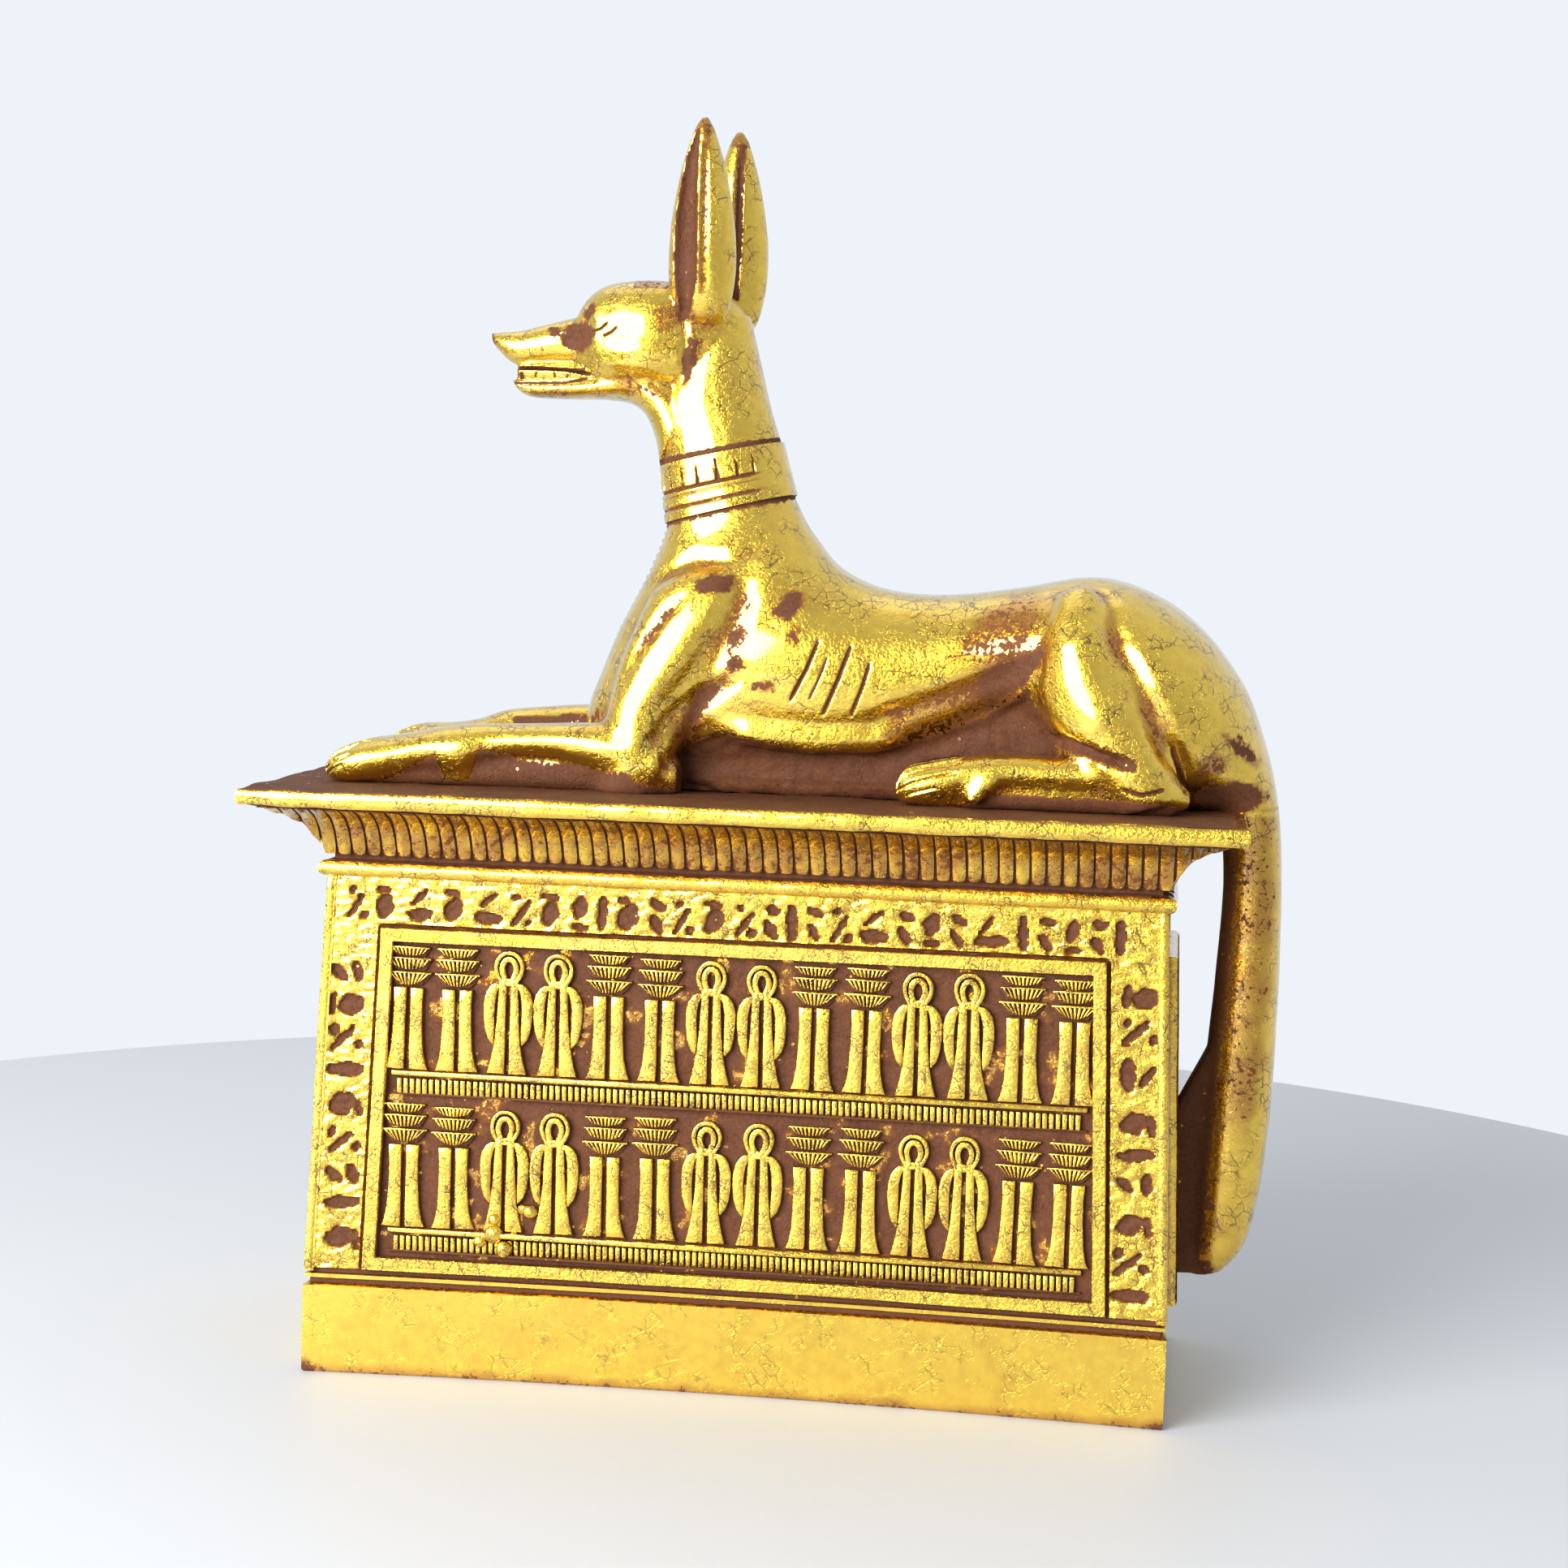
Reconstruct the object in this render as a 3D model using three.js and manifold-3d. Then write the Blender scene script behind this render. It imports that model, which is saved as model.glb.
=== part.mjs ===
// A jackal lying on a shrine-shaped chest, cast in one piece and gilded.
// Millimetres, +Z up. The origin is the centre of the chest's underside. The jackal faces -X.

import * as THREE from 'three';
import { mergeVertices } from 'three/addons/utils/BufferGeometryUtils.js';
import Module from 'manifold-3d';

// Chest: an upright foot, leaning walls and a rail
const CHEST_LENGTH = 160.8;
const CHEST_DEPTH = 64;
const FOOT_HEIGHT = 17;
const WALL_HEIGHT = 77;
const WALL_LEAN = 2.6;
const RAIL_HEIGHT = 2.9;
const RAIL_PROUD = 2;

// Cornice: a recess, a fluted hollow moulding and a flat slab
const RECESS_HEIGHT = 1.2;
const RECESS_DEPTH = 0.8;
const HOLLOW_HEIGHT = 9.4;
const HOLLOW_REACH = 12.2;
const HOLLOW_SAG = 0.165;
const FLUTE_PITCH = 3.2;
const FLUTE_DEPTH = 0.9;
const HOLLOW_STEPS = 2;
const SLAB_HEIGHT = 3.15;
const SLAB_LIP = 1.2;

// Panels: a framed ground on each wall with two registers of figures
const SIDE_BAND = 11;
const FRAME_WIDTH = 2.6;
const FRAME_PROUD = 0.7;
const FRAME_FOOT = 3;
const FRIEZE_HEIGHT = 9.5;
const END_PANEL_PROUD = 1.8;
const GROUND_DEPTH = 1.3;
const BAND_HEIGHT = 5;
const BAND_RAIL = 1;
const FIGURES_LONG = 14;
const FIGURES_SHORT = 4;
const FIGURE_GAP = 0.8;

// Shallow strokes and the two lines round the foot
const STROKE_DEPTH = 0.6;
const STROKE_WIDTH = 1.1;
const STROKES_FRONT = 9;
const STROKES_BACK = 5;
const STROKES_END = 3;
const STROKES_BAND = 3;
const LINE_WIDTH = 0.7;
const LINE_GAP = 1.3;

// Jackal: heights above the deck and below it, and the collar
const JACKAL_HEIGHT = 125.6;
const TAIL_DROP = 89.5;
const TAIL_WEB = 8;
const EAR_STAGGER = 3.6;
const COLLAR_PROUD = 0.6;
const MOUTH_DEPTH = 1;
const MOUTH_OPENING = 0.9;

// How far forms that are cast together run into each other
const FUSE = 0.5;

const GILDING_COLOUR = 0xb8922c;

const wallTop = FOOT_HEIGHT + WALL_HEIGHT;
const railTop = wallTop + RAIL_HEIGHT;
const hollowFoot = railTop + RECESS_HEIGHT;
const slabFoot = hollowFoot + HOLLOW_HEIGHT;
const deck = slabFoot + SLAB_HEIGHT;
const footHalf = new THREE.Vector2(CHEST_LENGTH / 2, CHEST_DEPTH / 2);
const topHalf = footHalf.clone().subScalar(WALL_LEAN);
const slabHalf = topHalf.clone().addScalar(HOLLOW_REACH + SLAB_LIP);
const leanAngle = Math.atan2(WALL_LEAN, WALL_HEIGHT);
const wallSlope = Math.hypot(WALL_LEAN, WALL_HEIGHT);

const wasm = await Module();
wasm.setup();

// Turns a closed geometry into a solid with its faces pointing out.
function solid(geometry) {
  const bare = geometry.clone();
  bare.deleteAttribute('normal');
  bare.deleteAttribute('uv');
  const merged = mergeVertices(bare, 1e-4);
  const points = merged.attributes.position;
  const [a, b, c] = [new THREE.Vector3(), new THREE.Vector3(), new THREE.Vector3()];
  const corners = [];
  let volume = 0;
  for (let i = 0; i < merged.index.count; i += 3) {
    const triangle = [0, 1, 2].map((k) => merged.index.getX(i + k));
    if (new Set(triangle).size < 3) continue;
    [a, b, c].forEach((point, k) => point.fromBufferAttribute(points, triangle[k]));
    volume += a.dot(b.cross(c));
    corners.push(triangle);
  }
  const triVerts = new Uint32Array(corners.flatMap((t) => (volume < 0 ? t.reverse() : t)));
  const vertProperties = new Float32Array(points.array);
  return new wasm.Manifold(new wasm.Mesh({ numProp: 3, vertProperties, triVerts }));
}

function join(solids) {
  return solids.reduce((sum, next) => sum.add(next));
}

function cut(body, tools) {
  return body.subtract(join(tools));
}

// A closed tube whose rings are placed by a function of the ring's and the side's number.
function shapedTube(sides, rings, place, middle) {
  const geometry = new THREE.CylinderGeometry(1, 1, 1, sides, rings);
  const points = geometry.attributes.position;
  const point = new THREE.Vector3();
  for (let i = 0; i < points.count; i++) {
    point.fromBufferAttribute(points, i);
    const ring = Math.round((point.y + 0.5) * rings);
    const onAxis = Math.hypot(point.x, point.z) < 0.5;
    const turn = Math.atan2(point.x, point.z) / (2 * Math.PI);
    const side = (Math.round(turn * sides) + sides) % sides;
    point.copy(onAxis ? middle(ring) : place(ring, side));
    points.setXYZ(i, point.x, point.y, point.z);
  }
  return geometry;
}

// Reads a table of stations at any place along it, 0 at the first row and 1 at the last.
function station(rows, share) {
  const place = share * (rows.length - 1);
  const first = Math.min(Math.floor(place), rows.length - 2);
  const t = place - first;
  const row = (k) => rows[THREE.MathUtils.clamp(first + k, 0, rows.length - 1)];
  return row(0).map((value, column) => {
    const [p, q, r, s] = [row(-1)[column], value, row(1)[column], row(2)[column]];
    return 0.5 * (2 * q + (r - p) * t + (2 * p - 5 * q + 4 * r - s) * t ** 2
      + (3 * q - 3 * r + s - p) * t ** 3);
  });
}

// The jackal is drawn for these sizes and stretched with the deck it lies on.
const DRAWN = { halfLength: 91, halfDepth: 43, height: 125.6, drop: 89.5 };

function drawn(x, y, z) {
  const tall = z > 0 ? JACKAL_HEIGHT / DRAWN.height : TAIL_DROP / DRAWN.drop;
  return new THREE.Vector3(
    (x * slabHalf.x) / DRAWN.halfLength,
    (y * slabHalf.y) / DRAWN.halfDepth,
    deck + z * tall,
  );
}

// A form whose rows give the back's x and z, the belly's x and z, the half width, how square the
// section is (2 is an ellipse) and, for a limb, how far out to its side its middle lies.
function trunk(rows, sides, rings, { side: hand = 0, grow = 0 } = {}) {
  const across = (share, cos, sin) => {
    const [backX, backZ, bellyX, bellyZ, half, square, aside = 0] = station(rows, share);
    const length = Math.hypot(backX - bellyX, backZ - bellyZ);
    const stretch = 1 + (2 * grow) / length;
    const power = 2 / square;
    const up = 0.5 * stretch * Math.sign(cos) * Math.abs(cos) ** power;
    const out = (half + grow) * Math.sign(sin) * Math.abs(sin) ** power;
    const x = (backX + bellyX) / 2 + (backX - bellyX) * up;
    const z = (backZ + bellyZ) / 2 + (backZ - bellyZ) * up;
    return drawn(x, hand * aside + out, z);
  };
  return shapedTube(
    sides,
    rings,
    (ring, side) => {
      const angle = (2 * Math.PI * side) / sides;
      return across(ring / rings, Math.cos(angle), Math.sin(angle));
    },
    (ring) => across(ring / rings, 0, 0),
  );
}

// Tail, rump, back, withers and neck in one run, tail tip first
const SPINE = [
  [90.5, -88.3, 85, -89.2, 3.6, 2],
  [95.2, -81, 83.8, -82, 6, 2.2],
  [98, -62, 84.8, -62, 6.6, 2.2],
  [98.8, -38, 86.4, -38, 6.8, 2.2],
  [98.6, -15, 87.6, -15, 6.8, 2.2],
  [97.4, 0.5, 86, -2, 8.5, 2.2],
  [94, 14, 80, 1, 14, 2.2],
  [89.2, 24.6, 72, -0.5, 20, 2.3],
  [80.5, 34.8, 67, -0.5, 23, 2.3],
  [70, 40.9, 62.5, -0.5, 23.4, 2.3],
  [60, 42.5, 57, 3, 21, 2.3],
  [48, 40.2, 47, 18, 17.5, 2.2],
  [34, 38.4, 34, 12, 16.5, 2.3],
  [22, 39.1, 18, 8, 17.5, 2.4],
  [13.5, 42.8, 2, 7, 18.3, 2.4],
  [9, 47.9, -16, 6, 18.3, 2.3],
  [6.4, 51.4, -34.5, 8, 17.5, 2.2],
  [5.2, 53.8, -30.8, 25, 14.5, 2.1],
  [4.5, 55, -23.4, 41, 11.6, 2],
  [4, 56, -20.1, 50, 10.6, 2],
  [2.5, 61, -20.8, 55.6, 10.1, 2],
  [1, 66.4, -21.4, 61.4, 9.8, 2],
  [-1.2, 73.5, -22.8, 66.5, 9.5, 2],
  [-3.4, 82, -25.4, 72, 9.2, 2],
  [-5.5, 90, -16, 84, 7, 2],
];
const COLLAR_ROWS = [19, 21];

// Skull and muzzle, nape first
const HEAD = [
  [-4.8, 88, -9, 78, 6, 2],
  [-9, 93.4, -14, 75.4, 9.2, 2.1],
  [-18, 95.6, -20, 74.6, 10.6, 2.2],
  [-26, 95.5, -27, 73.5, 10.2, 2.2],
  [-32, 94.8, -32.5, 73.3, 8.8, 2.2],
  [-35.8, 92, -36, 73.4, 7, 2.2],
  [-39, 89, -40, 73.7, 5.8, 2.3],
  [-45, 87.4, -45.5, 74.1, 4.9, 2.3],
  [-50, 86.2, -49.4, 75.9, 4, 2.2],
  [-53.4, 85.8, -51.8, 80.4, 3, 2],
  [-55.4, 85.4, -55, 83.8, 1.5, 2],
];

// Shoulder and upper arm, and the thigh from the knee down
const UPPER_ARM = [
  [4, 43, -3, 45, 3, 2, 9],
  [2, 34, -17, 41, 6.4, 2, 11.6],
  [-6, 22, -23.5, 31, 7.6, 2.2, 13],
  [-14.5, 8, -28, 16, 7.4, 2.2, 14.4],
  [-17, -0.5, -30, -0.5, 6.4, 2.2, 15.4],
];
const THIGH = [
  [60.5, 41, 55.5, 39.5, 2.6, 2, 13],
  [65, 36.5, 53, 31, 6, 2, 15.4],
  [70.5, 25, 52.8, 18.5, 7.6, 2, 17],
  [75.5, 14, 60, 8, 7.4, 2, 18.4],
  [80, 3, 68, -0.5, 6, 2, 19.6],
];

// Forearm and paw, hind foot: x, top, half width, squareness and distance aside, toes first
const FORELEG = [
  [-81.8, 1.8, 3.4, 2.3, 16],
  [-79.6, 4.8, 6, 2.3, 16],
  [-74, 7.3, 7, 2.3, 16],
  [-66, 9, 6.7, 2.3, 16],
  [-58, 10.4, 5.9, 2.3, 16],
  [-45, 11.8, 5.5, 2.3, 16],
  [-30, 12.6, 5.8, 2.3, 16],
  [-18, 12.2, 6.2, 2.3, 16],
];
const HIND_FOOT = [
  [27.2, 2.4, 3, 2.3, 21],
  [29.4, 5.8, 5.2, 2.3, 21],
  [34, 7.2, 6, 2.3, 21],
  [41, 8.4, 5.6, 2.3, 21],
  [48, 9.2, 5, 2.3, 21],
  [58, 8.8, 4.8, 2.3, 21],
  [69, 9, 5, 2.3, 21],
  [79.5, 4, 3.6, 2.3, 21],
];

// The ground that fills the space under the belly, in the same measures
const UNDER_BELLY = [
  [-26, 13, 10, 5, 0],
  [6, 13, 12, 5, 0],
  [34, 19, 12.5, 5, 0],
  [50, 29, 12.5, 5, 0],
  [64, 29, 12.5, 5, 0],
  [78, 12, 12, 5, 0],
];

// Ears: x, y, height, half length and half thickness, and the same for the hollow
const EAR = [
  [-12, 7, 89, 5, 3],
  [-11.8, 8, 96, 6.3, 4.4],
  [-11.7, 8.8, 103, 6.3, 4.8],
  [-11.7, 9.3, 110, 5.4, 4.4],
  [-11.7, 9.6, 117, 3.9, 3.6],
  [-11.7, 9.8, 123, 2, 2.2],
  [-11.7, 9.8, 125.6, 0.5, 0.7],
];
const EAR_HOLLOW = [
  [-14.8, 8.6, 91, 0.8, 0.6],
  [-16.1, 10.8, 97, 2.6, 2.2],
  [-16.2, 11.6, 105, 2.8, 2.4],
  [-14.9, 11.8, 113, 2, 2],
  [-13, 11.2, 122, 0.6, 0.6],
];

// The mouth's corner and its tip: x, distance aside and height
const MOUTH_ENDS = [
  [-37.5, 5.3, 78.6],
  [-52.5, 3.1, 78.6],
];

// The top edge of the web behind the lower tail: x and height
const WEB_EDGE = [
  [82.2, -53],
  [86.2, -45],
  [88, -45],
];

// A limb that lies on the deck: it is widened down into it, so that the two are fused.
function lyingLimb(rows, side, sides, rings) {
  const outline = rows.map(([x, top, ...width]) => [x, top, x, -FUSE, ...width]);
  return trunk(outline, sides, rings, { side });
}

// A form that stands up, with level sections.
function uprightForm(rows, side, sides, rings) {
  const shift = (side * EAR_STAGGER) / 2;
  const at = (share, cos, sin) => {
    const [x, y, z, halfLength, halfThickness] = station(rows, share);
    return drawn(x + shift + halfLength * cos, side * y + halfThickness * sin, z);
  };
  return shapedTube(
    sides,
    rings,
    (ring, index) => {
      const angle = (2 * Math.PI * index) / sides;
      return at(ring / rings, Math.cos(angle), Math.sin(angle));
    },
    (ring) => at(ring / rings, 0, 0),
  );
}

// The closed mouth: a groove along each side of the muzzle
function mouth(side) {
  const [back, tip] = MOUTH_ENDS.map(([x, y, z]) => drawn(x, side * y, z));
  const groove = new THREE.BoxGeometry(back.distanceTo(tip), 2 * MOUTH_DEPTH, MOUTH_OPENING);
  groove.rotateZ(Math.atan2(back.y - tip.y, back.x - tip.x));
  groove.translate(...back.add(tip).multiplyScalar(0.5).toArray());
  return groove;
}

function jackal() {
  const parts = [trunk(SPINE, 14, 28), trunk(HEAD, 12, 10)];
  parts.push(trunk(SPINE.slice(COLLAR_ROWS[0], COLLAR_ROWS[1] + 1), 14, 1, { grow: COLLAR_PROUD }));
  const hollows = [];
  for (const side of [-1, 1]) {
    parts.push(trunk(UPPER_ARM, 8, 5, { side }));
    parts.push(trunk(THIGH, 8, 6, { side }));
    parts.push(lyingLimb(FORELEG, side, 8, 7));
    parts.push(lyingLimb(HIND_FOOT, side, 8, 6));
    parts.push(uprightForm(EAR, side, 8, 6));
    hollows.push(uprightForm(EAR_HOLLOW, side, 6, 4), mouth(side));
  }
  parts.push(lyingLimb(UNDER_BELLY, 1, 8, 5));
  return cut(join(parts.map(solid)), hollows.map(solid));
}

// The web that ties the lower tail to the chest's end wall, with its top edge sloping up.
function tailWeb() {
  const wall = footHalf.x - WALL_LEAN - FUSE;
  const foot = deck - TAIL_DROP;
  const edge = WEB_EDGE.map(([x, z]) => drawn(x, 0, z));
  const outline = new THREE.Shape([
    new THREE.Vector2(wall, edge[0].z),
    ...edge.map((point) => new THREE.Vector2(point.x, point.z)),
    new THREE.Vector2(edge[2].x, foot),
    new THREE.Vector2(wall, foot),
  ]);
  const web = new THREE.ExtrudeGeometry(outline, { depth: TAIL_WEB, bevelEnabled: false });
  return solid(web.translate(0, 0, -TAIL_WEB / 2).rotateX(Math.PI / 2));
}

// A block with a rectangular plan that changes with height: half sizes and heights, foot first.
function rectangularStack(levels) {
  const geometry = new THREE.BoxGeometry(2, 2, 1, 1, 1, levels.length - 1);
  const points = geometry.attributes.position;
  for (let i = 0; i < points.count; i++) {
    const level = levels[Math.round((points.getZ(i) + 0.5) * (levels.length - 1))];
    const [halfX, halfY, z] = level;
    points.setXYZ(i, points.getX(i) * halfX, points.getY(i) * halfY, z);
  }
  return solid(geometry);
}

function chestBlock() {
  const grown = (half, by, z) => [half.x + by, half.y + by, z];
  const walls = rectangularStack([
    grown(footHalf, 0, 0),
    grown(footHalf, 0, FOOT_HEIGHT),
    grown(topHalf, 0, wallTop),
  ]);
  const rail = rectangularStack([
    grown(topHalf, 0, wallTop - RAIL_HEIGHT / 5),
    grown(topHalf, RAIL_PROUD, wallTop + RAIL_HEIGHT / 3),
    grown(topHalf, RAIL_PROUD, railTop - RAIL_HEIGHT / 3),
    grown(topHalf, RAIL_PROUD / 2, railTop),
  ]);
  const recess = rectangularStack([
    grown(topHalf, -RECESS_DEPTH, wallTop),
    grown(topHalf, -RECESS_DEPTH, hollowFoot),
  ]);
  const slab = rectangularStack([
    grown(slabHalf, -SLAB_LIP / 3, slabFoot),
    grown(slabHalf, 0, slabFoot + SLAB_HEIGHT / 4),
    grown(slabHalf, 0, deck - SLAB_HEIGHT / 6),
    grown(slabHalf, -SLAB_HEIGHT / 6, deck),
  ]);
  return [walls, rail, recess, slab];
}

// The hollow moulding: a slanting section that sags inwards, with upright flutes on all four sides.
// Each groove runs out to a point under the slab.
function flutedHollow() {
  const columns = [];
  for (let wall = 0; wall < 4; wall++) {
    const turn = (wall * Math.PI) / 2;
    const [half, out] = wall % 2 === 0 ? [topHalf.x, topHalf.y] : [topHalf.y, topHalf.x];
    const flutes = Math.round((2 * half) / FLUTE_PITCH);
    const pitch = (2 * half) / flutes;
    columns.push({ turn, out, along: -half, spread: 1, depth: 0 });
    for (let k = 0; k < flutes; k++) {
      const crest = -half + (k + 0.5) * pitch;
      columns.push({ turn, out, along: crest, spread: 0, depth: 0 });
      if (k === flutes - 1) continue;
      const groove = crest + pitch / 2;
      columns.push({ turn, out, along: groove, last: crest, spread: 0, depth: FLUTE_DEPTH });
    }
  }
  const place = (ring, side) => {
    const share = ring / HOLLOW_STEPS;
    const sag = HOLLOW_SAG * Math.sin(Math.PI * share);
    const reach = HOLLOW_REACH * (share - sag);
    const { turn, out, along, last, spread, depth } = columns[side];
    const closed = ring === HOLLOW_STEPS;
    const point = new THREE.Vector3(
      (closed && last ? last : along) - spread * reach,
      -(out + reach - (closed ? 0 : depth)),
      closed ? slabFoot : hollowFoot + HOLLOW_HEIGHT * (share + sag),
    );
    return point.applyAxisAngle(new THREE.Vector3(0, 0, 1), turn);
  };
  const middle = (ring) => new THREE.Vector3(0, 0, ring === 0 ? hollowFoot : slabFoot);
  return solid(shapedTube(columns.length, HOLLOW_STEPS, place, middle));
}

// Half outlines of the two figures of the registers, as half width and height, both in
// shares of the register's height. The plain ones are for the sides that are seen less.
const PILLAR = [[0.16, 0], [0.11, 0.64], [0.19, 0.77], [0.14, 0.79], [0.18, 0.88], [0.13, 0.9],
  [0.165, 1]];
const KNOT = [[0.16, 0], [0.08, 0.26], [0.16, 0.3], [0.195, 0.5], [0.13, 0.69], [0.04, 0.73],
  [0.13, 0.88], [0.06, 1]];
const PLAIN_PILLAR = [[0.16, 0], [0.11, 0.66], [0.18, 1]];
const PLAIN_KNOT = [[0.14, 0], [0.19, 0.5], [0.07, 1]];

function figure(half, x, foot, height, depth) {
  const right = half.map(([w, h]) => new THREE.Vector2(x + w * height, foot + h * height));
  const left = half.map(([w, h]) => new THREE.Vector2(x - w * height, foot + h * height)).reverse();
  const shape = new THREE.Shape([...right, ...left]);
  return new THREE.ExtrudeGeometry(shape, { depth, bevelEnabled: false });
}

// Places what is drawn on a wall (x along it, y up its slope, z out of it) on the chest.
function onWall(geometry, turn, distance) {
  const matrix = new THREE.Matrix4().makeRotationZ(turn);
  matrix.multiply(new THREE.Matrix4().makeTranslation(0, -distance, FOOT_HEIGHT));
  matrix.multiply(new THREE.Matrix4().makeRotationX(Math.PI / 2 - leanAngle));
  return geometry.applyMatrix4(matrix);
}

function slopedPlate(half, foot, top, low, high, inset) {
  const lean = (v) => (WALL_LEAN * v) / wallSlope;
  const edge = (v) => half - lean(v) - inset;
  const shape = new THREE.Shape([
    new THREE.Vector2(-edge(foot), foot),
    new THREE.Vector2(edge(foot), foot),
    new THREE.Vector2(edge(top), top),
    new THREE.Vector2(-edge(top), top),
  ]);
  const plate = new THREE.ExtrudeGeometry(shape, { depth: high - low, bevelEnabled: false });
  return plate.translate(0, 0, low);
}

function strokeBox(x, y, width, height, turn) {
  const stroke = new THREE.BoxGeometry(width, height, 2 * STROKE_DEPTH);
  return stroke.rotateZ(turn).translate(x, y, 0);
}

// Rows of shallow strokes on the frieze and down both side bands
function strokes({ half, friezeStrokes, bandStrokes }) {
  const friezeMiddle = wallSlope - FRIEZE_HEIGHT / 2;
  const reach = half - WALL_LEAN - SIDE_BAND / 3;
  const list = [];
  for (let i = 0; i < friezeStrokes; i++) {
    const x = -reach + ((i + 0.5) * 2 * reach) / friezeStrokes;
    const wide = reach / friezeStrokes;
    if (i % 3 === 0) {
      list.push(strokeBox(x, friezeMiddle + FRIEZE_HEIGHT / 5, wide, STROKE_WIDTH, 0));
      list.push(strokeBox(x, friezeMiddle - FRIEZE_HEIGHT / 5, wide, STROKE_WIDTH, 0));
    } else {
      const turn = i % 3 === 1 ? 0 : Math.PI / 7;
      list.push(strokeBox(x, friezeMiddle, STROKE_WIDTH, FRIEZE_HEIGHT * 0.6, turn));
    }
  }
  const bandTop = wallSlope - FRIEZE_HEIGHT;
  for (let i = 0; i < bandStrokes; i++) {
    const y = FRAME_FOOT + ((i + 0.5) * (bandTop - FRAME_FOOT)) / bandStrokes;
    const x = half - SIDE_BAND / 2 - (WALL_LEAN * y) / wallSlope;
    const turn = i % 2 === 0 ? 0 : Math.PI / 2;
    for (const side of [-1, 1]) {
      list.push(strokeBox(side * x, y, SIDE_BAND / 2, 1.6 * STROKE_WIDTH, turn));
    }
  }
  return list;
}

// One wall's carving: what is added to the block and what is cut from it first
function wallCarving({ half, figures, proud, plain = false, keepClear = 0 }) {
  const top = wallSlope - FRIEZE_HEIGHT;
  const foot = FRAME_FOOT;
  const inset = SIDE_BAND + FRAME_WIDTH;
  const low = foot + FRAME_WIDTH;
  const high = top - FRAME_WIDTH;
  const frame = slopedPlate(half, foot, top, -GROUND_DEPTH, proud, SIDE_BAND);
  const ground = slopedPlate(half, low, high, -GROUND_DEPTH, proud + 1, inset);
  const register = (high - low - 2 * BAND_HEIGHT) / 2;
  const inner = half - inset - (WALL_LEAN * high) / wallSlope;
  const pitch = (2 * inner - FIGURE_GAP) / (figures - 0.5);
  const thickness = GROUND_DEPTH + FUSE;
  const raised = [];
  for (const row of [0, 1]) {
    const bandFoot = low + row * (register + BAND_HEIGHT);
    const feet = bandFoot + BAND_HEIGHT;
    raised.push(slopedPlate(half, feet - BAND_RAIL, feet, -thickness, -FIGURE_GAP / 4, inset));
    raised.push(slopedPlate(half, bandFoot + BAND_RAIL / 2, feet - 1.5 * BAND_RAIL, -thickness,
      -FIGURE_GAP / 2, inset));
    for (let i = 0; i < figures; i++) {
      const x = (i - (figures - 1) / 2) * pitch;
      if (Math.abs(x) < keepClear) continue;
      const knot = Math.floor(i / 2) % 2 === 1;
      const shapes = plain ? [PLAIN_PILLAR, PLAIN_KNOT] : [PILLAR, KNOT];
      const outline = shapes[knot ? 1 : 0];
      const shape = figure(outline, x, feet + FIGURE_GAP / 4, register - FIGURE_GAP, thickness);
      raised.push(shape.translate(0, 0, -thickness));
    }
  }
  return { frame, ground, raised };
}

// Cuts round the foot: two lines on all four sides
function footLines() {
  const rings = [];
  for (const z of [FOOT_HEIGHT, FOOT_HEIGHT + LINE_WIDTH + LINE_GAP]) {
    const outer = rectangularStack([
      [footHalf.x + 1, footHalf.y + 1, z - LINE_WIDTH / 2],
      [footHalf.x + 1, footHalf.y + 1, z + LINE_WIDTH / 2],
    ]);
    const inner = rectangularStack([
      [footHalf.x - STROKE_DEPTH, footHalf.y - STROKE_DEPTH, z - LINE_WIDTH],
      [footHalf.x - STROKE_DEPTH, footHalf.y - STROKE_DEPTH, z + LINE_WIDTH],
    ]);
    rings.push(outer.subtract(inner));
  }
  return rings;
}

// What the walls carry. The end walls' panels stand further out, and one is parted by the tail.
const LONG_WALL = {
  distance: footHalf.y,
  half: footHalf.x,
  figures: FIGURES_LONG,
  proud: FRAME_PROUD,
  bandStrokes: STROKES_BAND,
};
const END_WALL = {
  distance: footHalf.x,
  half: footHalf.y,
  figures: FIGURES_SHORT,
  proud: END_PANEL_PROUD,
  plain: true,
  friezeStrokes: STROKES_END,
  bandStrokes: 0,
};
const WALLS = [
  { ...LONG_WALL, turn: 0, friezeStrokes: STROKES_FRONT },
  { ...LONG_WALL, turn: Math.PI, plain: true, friezeStrokes: STROKES_BACK },
  { ...END_WALL, turn: -Math.PI / 2 },
  { ...END_WALL, turn: Math.PI / 2, keepClear: TAIL_WEB },
];

function chest() {
  let body = cut(join([...chestBlock(), flutedHollow()]), footLines());
  for (const wall of WALLS) {
    const place = (geometry) => solid(onWall(geometry, wall.turn, wall.distance));
    const { frame, ground, raised } = wallCarving(wall);
    body = body.add(place(frame)).subtract(place(ground));
    body = join([body, ...raised.map(place)]);
    body = cut(body, strokes(wall).map(place));
  }
  return body;
}

const whole = join([chest(), tailWeb(), jackal()]);
const mesh = whole.getMesh();
const geometry = new THREE.BufferGeometry();
geometry.setAttribute('position', new THREE.BufferAttribute(mesh.vertProperties, 3));
geometry.setIndex(new THREE.BufferAttribute(mesh.triVerts, 1));
geometry.computeVertexNormals();

const gilding = new THREE.MeshStandardMaterial({
  color: GILDING_COLOUR,
  roughness: 0.32,
  metalness: 0.9,
});
const figureOnChest = new THREE.Mesh(geometry, gilding);
figureOnChest.name = 'jackal_on_chest';

const part = new THREE.Group();
part.add(figureOnChest);

export default part;
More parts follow.
